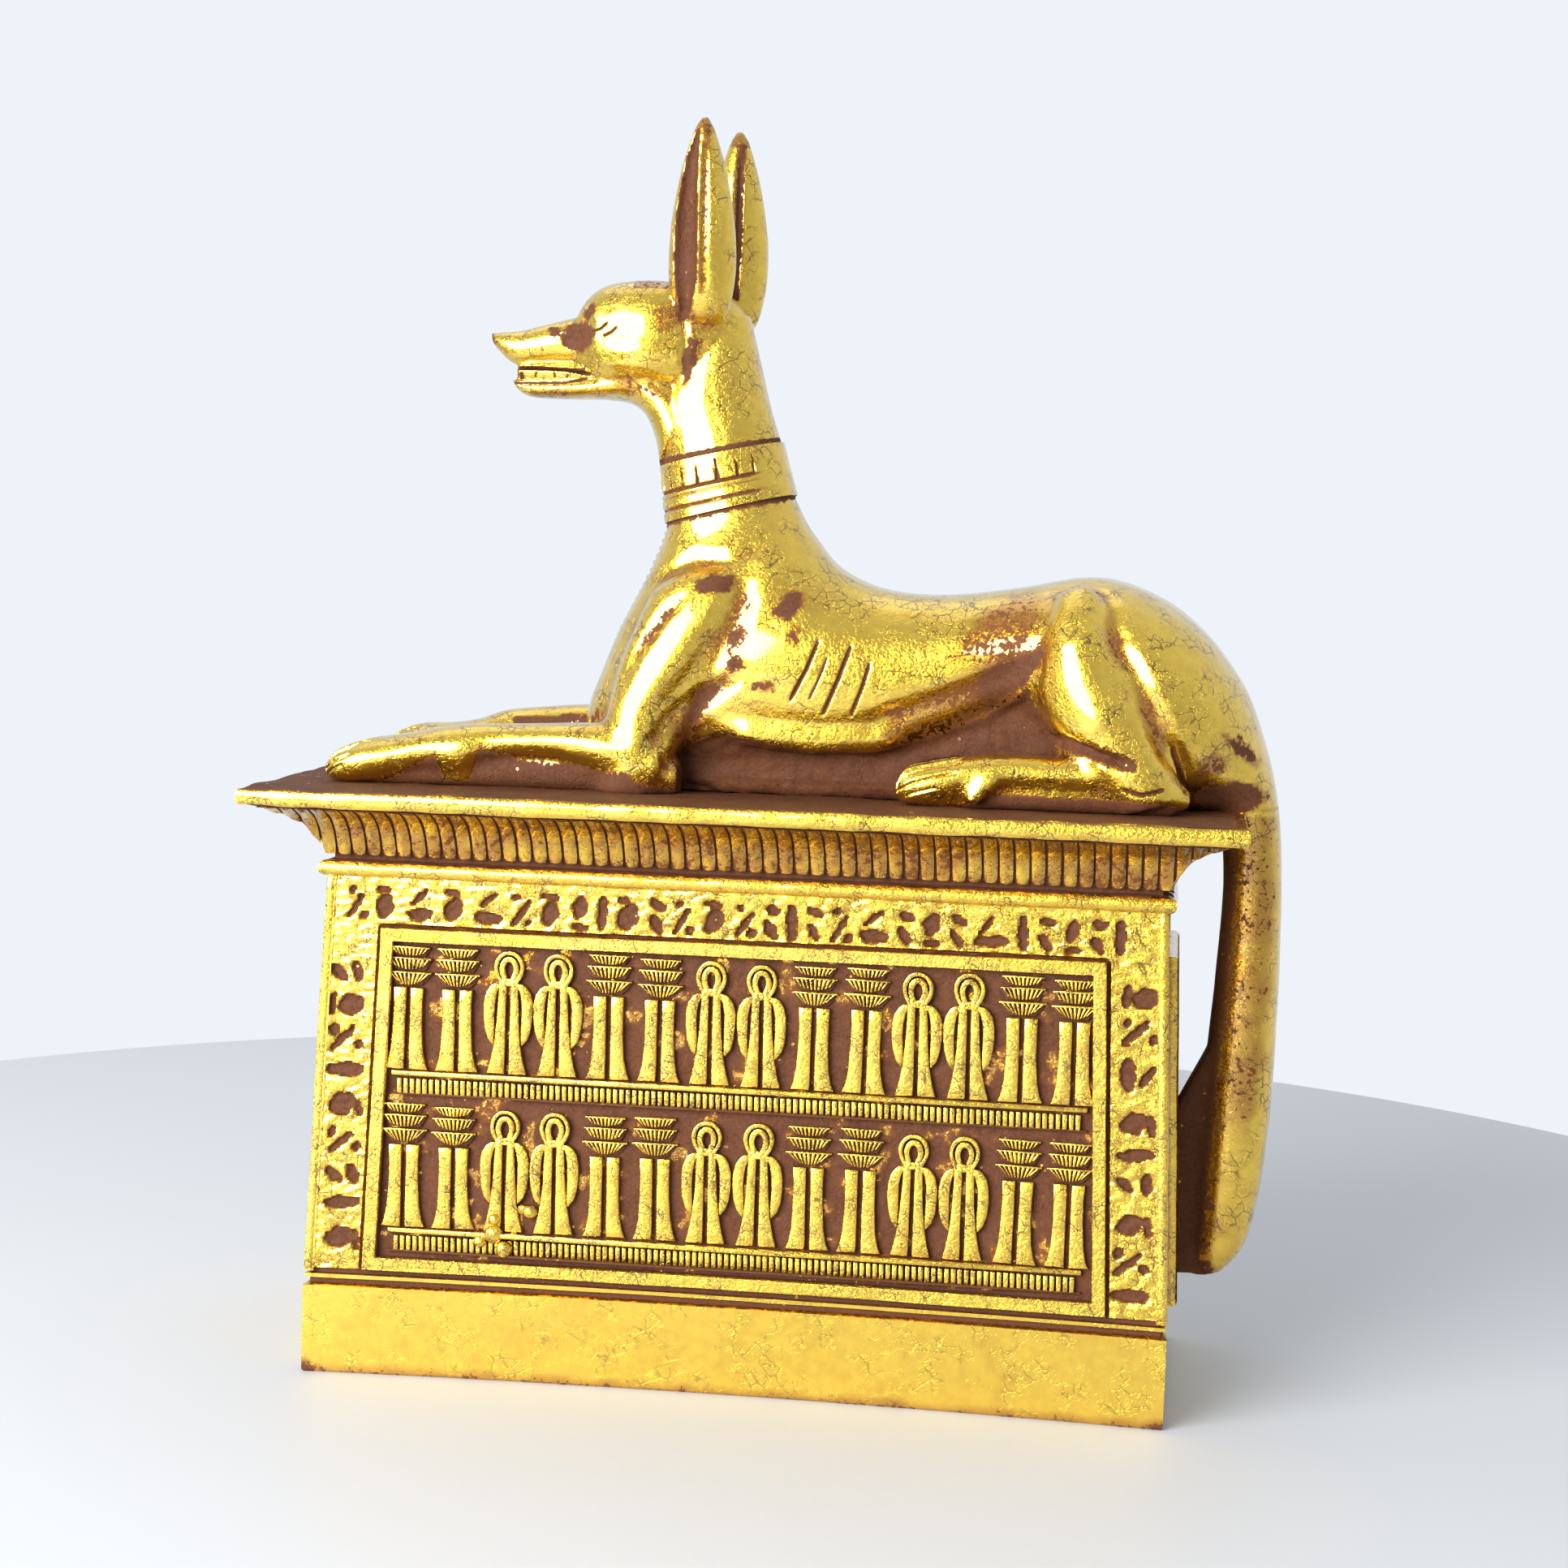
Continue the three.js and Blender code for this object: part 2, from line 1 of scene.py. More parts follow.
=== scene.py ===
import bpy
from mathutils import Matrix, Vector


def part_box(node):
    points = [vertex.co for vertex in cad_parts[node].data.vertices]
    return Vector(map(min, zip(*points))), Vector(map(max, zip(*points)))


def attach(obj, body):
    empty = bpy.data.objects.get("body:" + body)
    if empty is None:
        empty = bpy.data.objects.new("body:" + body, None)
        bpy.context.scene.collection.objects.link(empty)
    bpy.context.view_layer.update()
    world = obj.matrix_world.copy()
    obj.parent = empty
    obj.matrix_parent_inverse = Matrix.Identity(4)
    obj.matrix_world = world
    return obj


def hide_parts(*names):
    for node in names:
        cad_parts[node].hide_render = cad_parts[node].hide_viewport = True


bl_info = {
    "name": "Jackal on a Chest",
    "version": (1, 0, 0),
    "blender": (4, 5, 0),
    "location": "View3D > Sidebar > Jackal",
    "description": "Models a gilded jackal that lies on a shrine-shaped chest, around its packed solid",
    "category": "Add Mesh",
}

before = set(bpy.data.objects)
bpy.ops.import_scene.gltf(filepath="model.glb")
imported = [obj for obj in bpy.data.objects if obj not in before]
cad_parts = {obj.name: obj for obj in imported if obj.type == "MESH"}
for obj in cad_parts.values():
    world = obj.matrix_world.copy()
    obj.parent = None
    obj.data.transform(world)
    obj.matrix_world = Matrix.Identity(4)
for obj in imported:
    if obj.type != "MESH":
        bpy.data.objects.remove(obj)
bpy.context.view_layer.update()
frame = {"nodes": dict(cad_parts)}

import math

import bpy
import numpy as np
from bpy.props import FloatProperty, FloatVectorProperty, IntProperty, PointerProperty
from bpy.types import Operator, Panel, PropertyGroup
from mathutils import Matrix, Vector, noise

MM = 0.001
NODE = "jackal_on_chest"
BODY = "root"
LOW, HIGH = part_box(NODE)


def linear(hex_colour):
    """Turns an sRGB hex value into a linear colour."""
    channels = [int(hex_colour[i : i + 2], 16) / 255 for i in (1, 3, 5)]
    low = [c / 12.92 for c in channels]
    high = [((c + 0.055) / 1.055) ** 2.4 for c in channels]
    return tuple(h if c > 0.04045 else l for c, l, h in zip(channels, low, high))


class ChestSizes(PropertyGroup):
    """The chest from its foot to the slab that the jackal lies on."""

    length: FloatProperty(name="Length", description="Length of the foot", default=0.1608, unit="LENGTH")
    depth: FloatProperty(name="Depth", description="Depth of the foot", default=0.064, unit="LENGTH")
    foot: FloatProperty(
        name="Foot height", description="Height of the plain foot", default=0.017, unit="LENGTH"
    )
    walls: FloatProperty(
        name="Wall height", description="Height of the leaning walls", default=0.077, unit="LENGTH"
    )
    lean: FloatProperty(name="Lean", description="How far each wall leans in", default=0.0026, unit="LENGTH")
    rail: FloatProperty(
        name="Rail height", description="Height of the rail over the walls", default=0.0029, unit="LENGTH"
    )
    rail_proud: FloatProperty(
        name="Rail proud", description="How far the rail stands out", default=0.002, unit="LENGTH"
    )
    recess: FloatProperty(
        name="Recess", description="Height of the recess over the rail", default=0.0012, unit="LENGTH"
    )
    hollow: FloatProperty(
        name="Hollow height", description="Height of the hollow moulding", default=0.0094, unit="LENGTH"
    )
    reach: FloatProperty(
        name="Hollow reach", description="How far the hollow moulding flares", default=0.0122, unit="LENGTH"
    )
    pitch: FloatProperty(
        name="Leaf pitch",
        description="From one upright leaf of the moulding to the next",
        default=0.00288,
        unit="LENGTH",
    )
    slab: FloatProperty(name="Slab height", description="Height of the slab", default=0.00315, unit="LENGTH")
    lip: FloatProperty(
        name="Slab lip", description="How far the slab overhangs the moulding", default=0.0012, unit="LENGTH"
    )


class PanelSizes(PropertyGroup):
    """The carved field of a wall."""

    side: FloatProperty(
        name="Side band", description="Width of the bands beside the panel", default=0.011, unit="LENGTH"
    )
    frieze: FloatProperty(
        name="Frieze", description="Height of the band over the panel", default=0.0095, unit="LENGTH"
    )
    frame: FloatProperty(
        name="Frame width", description="Width of the panel's frame", default=0.0026, unit="LENGTH"
    )
    proud: FloatProperty(
        name="Frame proud", description="How far the frame stands out", default=0.0007, unit="LENGTH"
    )
    ground: FloatProperty(
        name="Ground depth", description="Depth of the panel's ground", default=0.0013, unit="LENGTH"
    )
    foot: FloatProperty(
        name="Foot gap", description="From the chest's foot to the frame", default=0.003, unit="LENGTH"
    )
    band: FloatProperty(
        name="Tiled band", description="Height of a tiled band with its rail", default=0.0058, unit="LENGTH"
    )
    tile: FloatProperty(
        name="Tile pitch", description="From one tile to the next", default=0.0012, unit="LENGTH"
    )
    long_figures: IntProperty(name="Figures", description="Figures in a row of the long walls", default=14)
    end_figures: IntProperty(name="End figures", description="Figures in a row of the end walls", default=4)


class JackalSizes(PropertyGroup):
    """How finely the jackal is modelled."""

    body_cell: FloatProperty(
        name="Body cell", description="Mesh size on the body", default=0.00078, unit="LENGTH"
    )
    head_cell: FloatProperty(
        name="Head cell", description="Mesh size on the head", default=0.00042, unit="LENGTH"
    )
    collar: FloatProperty(
        name="Collar proud", description="How far the collar stands out", default=0.0006, unit="LENGTH"
    )
    ear_stagger: FloatProperty(
        name="Ear stagger",
        description="How far one ear stands behind the other",
        default=0.0036,
        unit="LENGTH",
    )


class GildingLook(PropertyGroup):
    """Colours and grain of the leaf and of the ground under it."""

    bright: FloatVectorProperty(
        name="Bright leaf", description="Thick, fresh leaf", subtype="COLOR", default=linear("#F6D040")
    )
    # The deep leaf also stands for painted shade where the leaf is thinned for it.
    deep: FloatVectorProperty(
        name="Deep leaf", description="Rubbed, thin leaf", subtype="COLOR", default=linear("#BD851A")
    )
    bole: FloatVectorProperty(
        name="Bole", description="Red-brown ground", subtype="COLOR", default=linear("#603820")
    )
    glaze: FloatVectorProperty(
        name="Glaze",
        description="Brown glaze left over thin leaf",
        subtype="COLOR",
        default=linear("#7E4A1C"),
    )
    crack: FloatProperty(
        name="Crack spacing", description="Distance between hairline cracks", default=0.0026, unit="LENGTH"
    )
    wrinkle: FloatProperty(
        name="Wrinkle width", description="Width of the fine wrinkles", default=0.0006, unit="LENGTH"
    )


class StageLook(PropertyGroup):
    """The floor, the light and the camera."""

    floor: FloatVectorProperty(
        name="Floor", description="Pale floor", subtype="COLOR", default=linear("#CBCDD0")
    )
    sky: FloatVectorProperty(
        name="Surround", description="Pale surround", subtype="COLOR", default=linear("#EEF3FA")
    )
    key: FloatProperty(
        name="Key light", description="Power of the large soft light", default=17.5, unit="POWER"
    )


def sizes(name):
    """The group of sizes or colours with this name."""
    return getattr(bpy.context.scene, name)


def levels():
    """Heights of the chest's mouldings, from the foot up."""
    c = sizes("chest_sizes")
    wall_top = c.foot + c.walls
    rail_top = wall_top + c.rail
    hollow_foot = rail_top + c.recess
    slab_foot = hollow_foot + c.hollow
    return {
        "wall": wall_top,
        "rail": rail_top,
        "hollow": hollow_foot,
        "slab": slab_foot,
        "deck": slab_foot + c.slab,
    }


def half_sizes():
    """Half length and depth at the foot, at the top of the walls and at the slab."""
    c = sizes("chest_sizes")
    foot = Vector((c.length / 2, c.depth / 2))
    top = foot - Vector((c.lean, c.lean))
    out = c.reach + c.lip
    return {"foot": foot, "top": top, "slab": top + Vector((out, out))}


# The part's reach in front of its middle, its half depth and its height over the deck for which the
# stations are drawn, in metres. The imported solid's own sizes stretch them.
DRAWN_SIZES = (0.0912, 0.0428, 0.1256)

# The jackal's stations, in mm. A row gives the back's x and height over the deck, the belly's x
# and height, the half width and how far the form's middle lies to its side.
SPINE = [
    (90.5, -88.3, 85, -89.2, 3.6, 0),
    (95.2, -81, 83.8, -82, 6, 0),
    (98, -62, 84.8, -62, 6.6, 0),
    (98.8, -38, 86.4, -38, 6.8, 0),
    (98.6, -15, 87.6, -15, 6.8, 0),
    (97.4, 0.5, 86, -2, 8.5, 0),
    (94, 14, 80, 1, 14, 0),
    (89.2, 24.6, 72, -0.5, 20, 0),
    (80.5, 34.8, 67, -0.5, 23, 0),
    (70, 40.9, 62.5, -0.5, 23.4, 0),
    (60, 42.5, 57, 3, 21, 0),
    (48, 40.2, 47, 15, 17.3, 0),
    (34, 38.4, 34, 8.5, 16.8, 0),
    (22, 39.1, 18, 4, 17.8, 0),
    (13.5, 42.8, 2, 3, 18.5, 0),
    (9, 47.9, -16, 3, 18.3, 0),
    (6.4, 51.4, -34.5, 8, 17.5, 0),
    (5.2, 53.8, -30.8, 25, 14.5, 0),
    (4.5, 55, -23.4, 41, 11.6, 0),
    (4, 56, -20.1, 50, 10.6, 0),
    (2.5, 61, -20.8, 55.6, 10.1, 0),
    (1, 66.4, -21.4, 61.4, 9.8, 0),
    (-1.2, 73.5, -22.2, 66.5, 9.5, 0),
    (-3.4, 82, -22.4, 72.6, 9.2, 0),
    (-5.5, 90, -16, 84, 7, 0),
]
# Rows of the spine at the collar's lower and upper edge, and where head and body part under it
COLLAR_FOOT, NECK_CUT, COLLAR_TOP = 19, 20, 21

SKULL = [
    (-4.8, 88, -9, 78, 5.4, 0),
    (-9, 93.4, -14, 75.4, 8, 0),
    (-15, 95.6, -18.5, 74.8, 9.6, 0),
    (-22, 96, -23.5, 74.6, 10.9, 0),
    (-27.5, 96, -28.5, 74.8, 10.6, 0),
    (-32.4, 95.2, -33.2, 75.6, 8.9, 0),
    (-36, 93, -36.6, 77.4, 6.6, 0),
    (-38.2, 89.8, -39.2, 80, 4.8, 0),
]
MUZZLE = [
    (-28, 92, -28, 78, 7.6, 0),
    (-33, 91.2, -33, 78.6, 6.8, 0),
    (-37, 89.5, -37, 79.4, 6, 0),
    (-41, 88.4, -41, 79.7, 5.4, 0),
    (-45, 87.4, -45.4, 79.7, 4.8, 0),
    (-50, 86.2, -49.4, 79.6, 4, 0),
    (-53.4, 85.9, -51.9, 80.4, 3.1, 0),
    (-55.6, 85.6, -54.8, 83.2, 1.7, 0),
]
JAW = [
    (-22, 82, -24, 73.2, 8.6, 0),
    (-30, 79, -30, 73.5, 7.2, 0),
    (-36, 77.6, -36, 73.4, 6, 0),
    (-42, 77.1, -42, 73.4, 5, 0),
    (-47, 76.9, -47, 73.6, 4.2, 0),
    (-50, 76.9, -49.2, 74.4, 3.4, 0),
    (-51.2, 77.1, -50.6, 75.8, 2, 0),
]
MOUTH = [
    (-30, 81, -30, 75.6, 7, 0),
    (-36, 81, -36, 75.6, 5.5, 0),
    (-40, 81, -40, 75.8, 4.7, 0),
    (-46, 81, -46, 76, 4, 0),
    (-50, 80.6, -49.8, 76.4, 3, 0),
]
THROAT = [
    (-34, 80, -34, 73.5, 5.4, 0),
    (-28.5, 80, -28.5, 72.9, 7, 0),
    (-24.5, 80, -24.8, 70.6, 8, 0),
    (-19, 79, -22.8, 66, 8.4, 0),
    (-14, 74, -21.9, 61, 8.6, 0),
]
UPPER_ARM = [
    (4, 43, -3, 45, 3, 9),
    (2, 34, -17, 41, 6.4, 11.6),
    (-6, 22, -23.5, 31, 7.6, 13),
    (-14.5, 8, -28, 16, 7.4, 14.4),
    (-17, -0.5, -30, -0.5, 6.4, 15.4),
]
THIGH = [
    (60.5, 41, 55.5, 39.5, 2.6, 13),
    (65, 36.5, 53, 31, 6, 15.4),
    (70.5, 25, 52.8, 18.5, 7.6, 17),
    (75.5, 14, 60, 8, 7.4, 18.4),
    (80, 3, 68, -0.5, 6, 19.6),
]
NEAR_FORELEG = [
    (-82, 2.8, -81.6, 0.6, 3.2, 16),
    (-79.6, 5.8, -79, -0.5, 6, 16),
    (-74, 8, -74, -0.5, 7, 16),
    (-67, 9.2, -67, 1.2, 6.6, 16),
    (-61, 10.4, -61, 2.4, 6.2, 16),
    (-55, 11.4, -55, 1.4, 6.3, 16),
    (-49.5, 11.7, -49.5, 4.4, 5.2, 16),
    (-38, 12.2, -38, 5.4, 5.3, 16),
    (-27, 12.7, -27, 2.6, 6, 16),
    (-17, 12, -17, -0.5, 6.2, 15.6),
]
FAR_FORELEG = [
    (-81, 2.8, -80.6, 0.6, 3.2, 16),
    (-78.6, 6.2, -78, -0.5, 6, 16),
    (-73, 9, -73, -0.5, 7, 16),
    (-66, 9.6, -66, 1.2, 6.6, 16),
    (-60, 10.6, -60, 2.4, 6.2, 16),
    (-55, 12.4, -55, 1.6, 6.3, 16),
    (-49, 13.2, -49, 4.6, 5.4, 16),
    (-38, 14.2, -38, 5.8, 5.5, 16),
    (-27, 14.4, -27, 3, 6, 16),
    (-17, 13, -17, -0.5, 6.2, 15.6),
]
HIND_FOOT = [
    (27, 3.8, 27.2, 1.4, 2.8, 19.4),
    (29, 6.8, 29, 0, 5, 19.4),
    (34, 8.2, 34, 0, 5.8, 19.4),
    (39, 9.2, 39, 1.4, 5.6, 19.4),
    (46, 10, 46, 3.2, 5, 19.4),
    (58, 9.7, 58, 3.2, 4.8, 19.4),
    (70, 9.8, 70, 2.8, 5, 19.4),
    (77, 6.8, 77, 0.4, 4.8, 19.4),
    (81, 4, 80.6, 1.2, 3, 19.4),
]
DEW_CLAW = [
    (44.2, 7.6, 47, 5.8, 1.1, 23.6),
    (42.2, 5, 45, 3.4, 1.1, 24.4),
    (39.8, 1.8, 42.2, 0.4, 1, 24.8),
]
LEG_WEB = [
    (-72, 3, -72, -0.5, 4, 16),
    (-58, 4.6, -58, -0.5, 4, 16),
    (-34, 7, -34, -0.5, 3.8, 16),
    (-14, 6, -14, -0.5, 4.2, 15.6),
]
FOOT_WEB = [
    (32, 3, 32, -0.5, 3.4, 19.4),
    (50, 5, 50, -0.5, 3.8, 19.4),
    (78, 5, 78, -0.5, 4, 19.4),
]
RUMP_WEB = [
    (74, 9, 74, -0.5, 14, 0),
    (82, 9, 82, -0.5, 12, 0),
    (88, 7, 88, -0.5, 9, 0),
    (93, 4, 92, -0.5, 6.4, 0),
]
UNDER_BELLY = [
    (-26, 12, -26, -0.5, 9, 0),
    (6, 12, 6, -0.5, 12, 0),
    (34, 18, 34, -0.5, 12.5, 0),
    (50, 29, 50, -0.5, 12.5, 0),
    (64, 29, 64, -0.5, 12.5, 0),
    (78, 12, 78, -0.5, 12, 0),
]
TAIL_WEB = [
    (86, -88.6, 77, -88.6, 4.2, 0),
    (87, -74, 77, -74, 4.2, 0),
    (87.5, -52, 78, -66, 4.2, 0),
    (87.5, -42.6, 79, -59.6, 4.2, 0),
]
# Ears lie level: the back edge, then the front edge.
EAR = [
    (-9, 86.2, -15, 86.2, 1.6, 5.6),
    (-6.8, 89.4, -16.8, 89.4, 3.5, 7.1),
    (-5.5, 96, -18.1, 96, 4.4, 8),
    (-5.4, 103, -18, 103, 4.8, 8.8),
    (-6.3, 110, -17.1, 110, 4.4, 9.3),
    (-7.8, 117, -15.6, 117, 3.6, 9.6),
    (-9.7, 123, -13.7, 123, 2.2, 9.8),
    (-11.2, 125.6, -12.2, 125.6, 0.7, 9.8),
]
EAR_HOLLOW = [
    (-13.8, 89.4, -15.2, 89.4, 0.8, 9.8),
    (-12.4, 95, -17, 95, 2.4, 12.4),
    (-12.2, 103, -17.1, 103, 2.8, 13.6),
    (-12.4, 111, -16.2, 111, 2.4, 13.4),
    (-12.4, 118, -14.9, 118, 1.7, 12.6),
    (-12.2, 123.2, -13, 123.2, 0.6, 11.2),
]
EAR_FOLD = [(-11, 122), (-10.8, 113), (-10.7, 104), (-11, 92)]

# Grooves seen from the side: points as x and height over the deck, width and depth, in mm
BODY_GROOVES = [
    ([(11.6, 29.4), (9.6, 24), (6.6, 18)], 0.5, 0.6),
    ([(13.4, 26.4), (12, 22.4), (10.3, 18.6)], 0.3, 0.25),
    ([(17.6, 28.6), (15.6, 22.6), (12.8, 15.6)], 0.55, 0.6),
    ([(21.2, 25.6), (20, 21), (18, 15.6)], 0.5, 0.55),
    ([(77, 12.4), (78.4, 9), (80, 4.2)], 0.7, 0.8),
    ([(68.6, 4.6), (72, 3.8), (76, 4.8)], 0.5, 0.7),
    ([(27.4, 4.2), (30, 6), (34, 7.3), (39, 8.2)], 0.45, 0.4),
    ([(27.3, 2.6), (30.5, 4.3), (34, 5.5), (38.5, 6.4)], 0.45, 0.4),
    ([(28, 1.2), (31.5, 2.6), (35, 3.6)], 0.4, 0.35),
    ([(-81.8, 3), (-79, 5.4), (-75.5, 6.9)], 0.4, 0.35),
    ([(-82, 1.8), (-79.2, 3.8), (-76, 5.2)], 0.4, 0.35),
    ([(-81.4, 0.8), (-79.4, 2.2), (-77, 3.4)], 0.4, 0.3),
]
# The first six of these, on the ribs and the heel, stay dark
DARK_GROOVES = 6
# Hollows and ridges of the flesh, broad and soft
BODY_HOLLOWS = [
    ([(-2.5, 41), (-5, 32), (-10.5, 23), (-18, 13)], 4.4, 1.5),
    ([(-4, 22), (-10, 17.5), (-15.5, 12.6), (-19.6, 7)], 3, 1.1),
    ([(-21, 39), (-13, 43.4), (-6, 43.6), (1, 48)], 2.6, 0.8),
    ([(-13, 38), (-18, 32), (-22, 26), (-25.4, 19)], 2, 0.55),
    ([(62.5, 38.4), (66.6, 31), (71, 23.6), (74.6, 16), (78, 8)], 3.4, 1.2),
    ([(57.5, 33), (60.5, 24), (66, 15)], 6.4, -0.9),
    ([(54.5, 13.2), (62, 11.2), (69.6, 9)], 1.7, 1.9),
    ([(22, 15), (36, 20), (51, 26.6)], 3, 0.7),
    ([(-6, 12), (2, 11), (12, 10.4), (22, 10.8), (29, 12.4)], 3.6, -1.9),
]
HEAD_GROOVES = [
    ([(-34.6, 85.8), (-32.6, 86.2), (-31.2, 87.4)], 0.35, 0.3),
    ([(-32, 84.9), (-30.4, 85.6), (-29.2, 86.6)], 0.4, 0.35),
    ([(-50.4, 79), (-46, 79), (-40, 78.8), (-34.8, 77.9)], 0.5, 1.2),
    ([(-50.6, 76.2), (-45, 76.2), (-40, 76.3), (-35.4, 77.2)], 0.38, 0.5),
]
HEAD_HOLLOWS = [
    ([(-40.5, 83.4), (-37, 86)], 2.2, 0.6),
    ([(-37.5, 82), (-33, 78.6), (-26, 77.6), (-21, 77)], 2, 0.35),
    ([(-17, 92), (-16.2, 84), (-16.6, 79)], 1.3, 0.5),
    ([(-34.6, 91.5), (-33.2, 87.5), (-33.6, 83)], 1.5, -0.35),
]
# Small lumps between the lips: along the jaw, height and size
TEETH = [
    ([(-48.9, 78.2), (-48.8, 76.9)], 0.45, 0.4),
    ([(-45.8, 78.3), (-46.1, 77.2)], 0.3, 0.25),
    ([(-42.3, 78.2), (-42.1, 77.1)], 0.3, 0.25),
    ([(-39.6, 78), (-39.7, 77.2)], 0.26, 0.2),
]
# Lumps on the front of the chest: along the wall, up its slope and their size, in mm
FLAWS = [
    (-47, 9.6, 1.3),
    (-44.4, 11, 1.9),
    (-42.4, 8.2, 1.7),
    (-44.4, 13.8, 1.2),
    (-40.6, 10.8, 0.9),
    (-37.6, 15.6, 1.4),
    (-39, 16, 1.0),
]
# Toes, seen from above: points as x and distance from the middle line of the foot
PAW_MIDDLE, TOE_MIDDLE = 16, 19.4
PAW_GROOVES = [([(-84, y), (-77, y), (-71.5, y * 0.8)], 0.8, 0.9) for y in (-3.5, 0, 3.5)]
TOE_GROOVES = [([(25, y), (33, y), (39, y * 0.8)], 0.7, 0.7) for y in (-2.8, 0, 2.8)]

# The bare web that fills the space under the belly: its height and half width at places along it
WEB_HEIGHT = (
    ((-24, 2), (-20, 4), (-14, 8.6), (-6.7, 11.8), (0, 10.6), (4, 9.7), (10, 8.9), (22, 9), (31, 11.4))
    + ((37, 13.8), (42, 15.7), (49, 20), (52, 26), (56, 31), (60, 27), (70, 12), (80, 6))
)
WEB_WIDTH = ((-24, 13), (-14, 18), (-8, 19), (48, 17.4), (58, 15.4), (78, 14))
# Heights over the deck under which the forelegs and the hind feet are bare, at places along them. The bare
# brown bole there is also painted shade under the legs.
FORELEG_BARE_AND_SHADED = (
    ((-84, -1), (-72, -1), (-66, 2.4), (-61, 5.4), (-59.5, 5.4), (-58.4, 1.2), (-53, 1.2))
    + ((-51.4, 7.2), (-45, 6), (-38, 5.1), (-25, 4.6), (-21, 2.4), (-16, 1))
)
HIND_BARE_AND_SHADED = ((26, -0.6), (40, -0.2), (44, 2.6), (76, 2.4), (82, 0.4))
WEDGE = [(53, 13.4), (62, 11.2), (70, 8.9)]
# The tail's inner face by height, and how much leaf is left by distance from it. The bare bole at the inner
# face and the thin, deep leaf beyond it are painted shade where the chest shades the tail, and the nearly
# whole leaf at the outer rim is a painted highlight.
TAIL_INNER = ((-89, 83.8), (-62, 84.8), (-38, 86.4), (-15, 87.6), (-2, 86))
TAIL_LEAF_WITH_PAINTED_LIGHT = ((0, 0.02), (1.4, 0.2), (2.8, 0.54), (5, 0.64), (9, 0.64), (11.5, 0.95))
# Dark lines along the collar's edges, seen from the side
COLLAR_LOWER_LINE = [(4.9, 56.1), (-21.2, 49.8)]
COLLAR_UPPER_LINE = [(1.9, 66.7), (-22.6, 61.4)]
# Pitch of the notches down the breast
NOTCH_PITCH = 1.4

# Worn spots seen from the side, and a few broad, faint spots of painted shade among them: middle, reach along
# and across, turn and how much leaf is lost
BODY_WEAR_AND_SHADE = [
    ((-8.2, 39.2), (3.8, 1.8), 4, 1.6),
    ((5.4, 35.4), (3.8, 2), 38, 1),
    ((7.2, 30), (1.7, 3.2), -8, 0.7),
    # Painted shade: these two broad, faint spots darken the gold behind the shoulder.
    ((5, 37), (11, 6), 6, 0.14),
    ((-5, 31), (4, 8), -25, 0.13),
    ((-3.6, 24.6), (3, 2), 40, 0.8),
    ((1.4, 20.8), (3.6, 1.5), 8, 0.65),
    ((-3.4, 28.6), (3, 2), 60, 0.5),
    ((-8, 21), (6, 2.4), 42, 0.3),
    ((-12.4, 14.4), (8.6, 2.3), 44, 0.34),
    ((-19, 30.4), (8.6, 1.3), 55, 0.5),
    ((44, 32), (12, 5.6), 36, 0.5),
    ((47, 25), (9, 4.4), 42, 0.45),
    ((88, 3), (8, 3.4), 0, 1),
    ((84.4, 9), (3, 3.4), 60, 0.5),
    ((89.6, 12), (5, 1.6), -40, 0.75),
]
HEAD_WEAR_AND_SHADE = [
    ((-37.3, 84.9), (3.7, 3.1), 20, 2),
    ((-42.2, 85.8), (1.9, 1), -20, 1),
    ((-35.2, 89.8), (0.9, 2.2), -30, 1.1),
    ((-15.4, 81), (1.3, 6.4), -6, 1),
    ((-13.8, 83.4), (1.2, 2.2), -15, 0.5),
    ((-16.6, 91), (2.4, 3.4), 0, 0.6),
    ((-20, 88.4), (3.6, 3), 0, 0.4),
    # Painted shade: these two spots under the cheek thin the leaf to a deeper orange gold.
    ((-27, 76.2), (6, 1.8), -16, 0.36),
    ((-21.5, 74.2), (4.4, 1.4), -22, 0.36),
    ((-42, 74), (9, 1), 0, 0.3),
    ((-55.8, 84.8), (1.2, 1.8), 0, 0.9),
    ((-49.6, 77.6), (1.6, 1.4), 0, 0.5),
]
EAR_ROOT_WEAR = [((-11.4, 89), (3.6, 4.6), 0, 0.22)]
# The worn and shaded spots of the far side are set this far back, in mm, so that the two sides differ
FAR_WEAR_SLIP = 4

# Lines round the collar as shares of its height: middle, half width, depth and whether they fade
# towards the nape. The collar's ring of corners is fine enough for its upright notches.
COLLAR_LINES = (
    (0, 0.05, 1, False),
    (0.245, 0.035, 0.55, True),
    (0.41, 0.022, 0.3, True),
    (0.51, 0.035, 0.7, True),
    (1, 0.045, 1, False),
)
COLLAR_CORNERS = 400
COLLAR_NOTCHES = 23
# Steps over the chest's foot, in mm: out from its face and up from its top edge
FOOT_STEPS = ((-0.4, -0.2), (-1.1, 0.1), (-1.1, 0.9), (-0.3, 1.1), (-0.3, 1.8), (-1.2, 2.0))
# Pillars and knots as shares of their height: widths with their heights
SHAFT = ((0.18, 0), (0.155, 0.055), (0.132, 0.17), (0.121, 0.36), (0.12, 0.55), (0.126, 0.67))
# Each cup's foot, top, half width at its foot and half width at its rim
CUPS = ((0.685, 0.79, 0.1, 0.188), (0.808, 0.905, 0.125, 0.18), (0.922, 0.995, 0.12, 0.168))
SKIRT = ((0.165, 0), (0.138, 0.09), (0.108, 0.25), (0.092, 0.42), (0.084, 0.6), (0.078, 0.71), (0.062, 0.78))
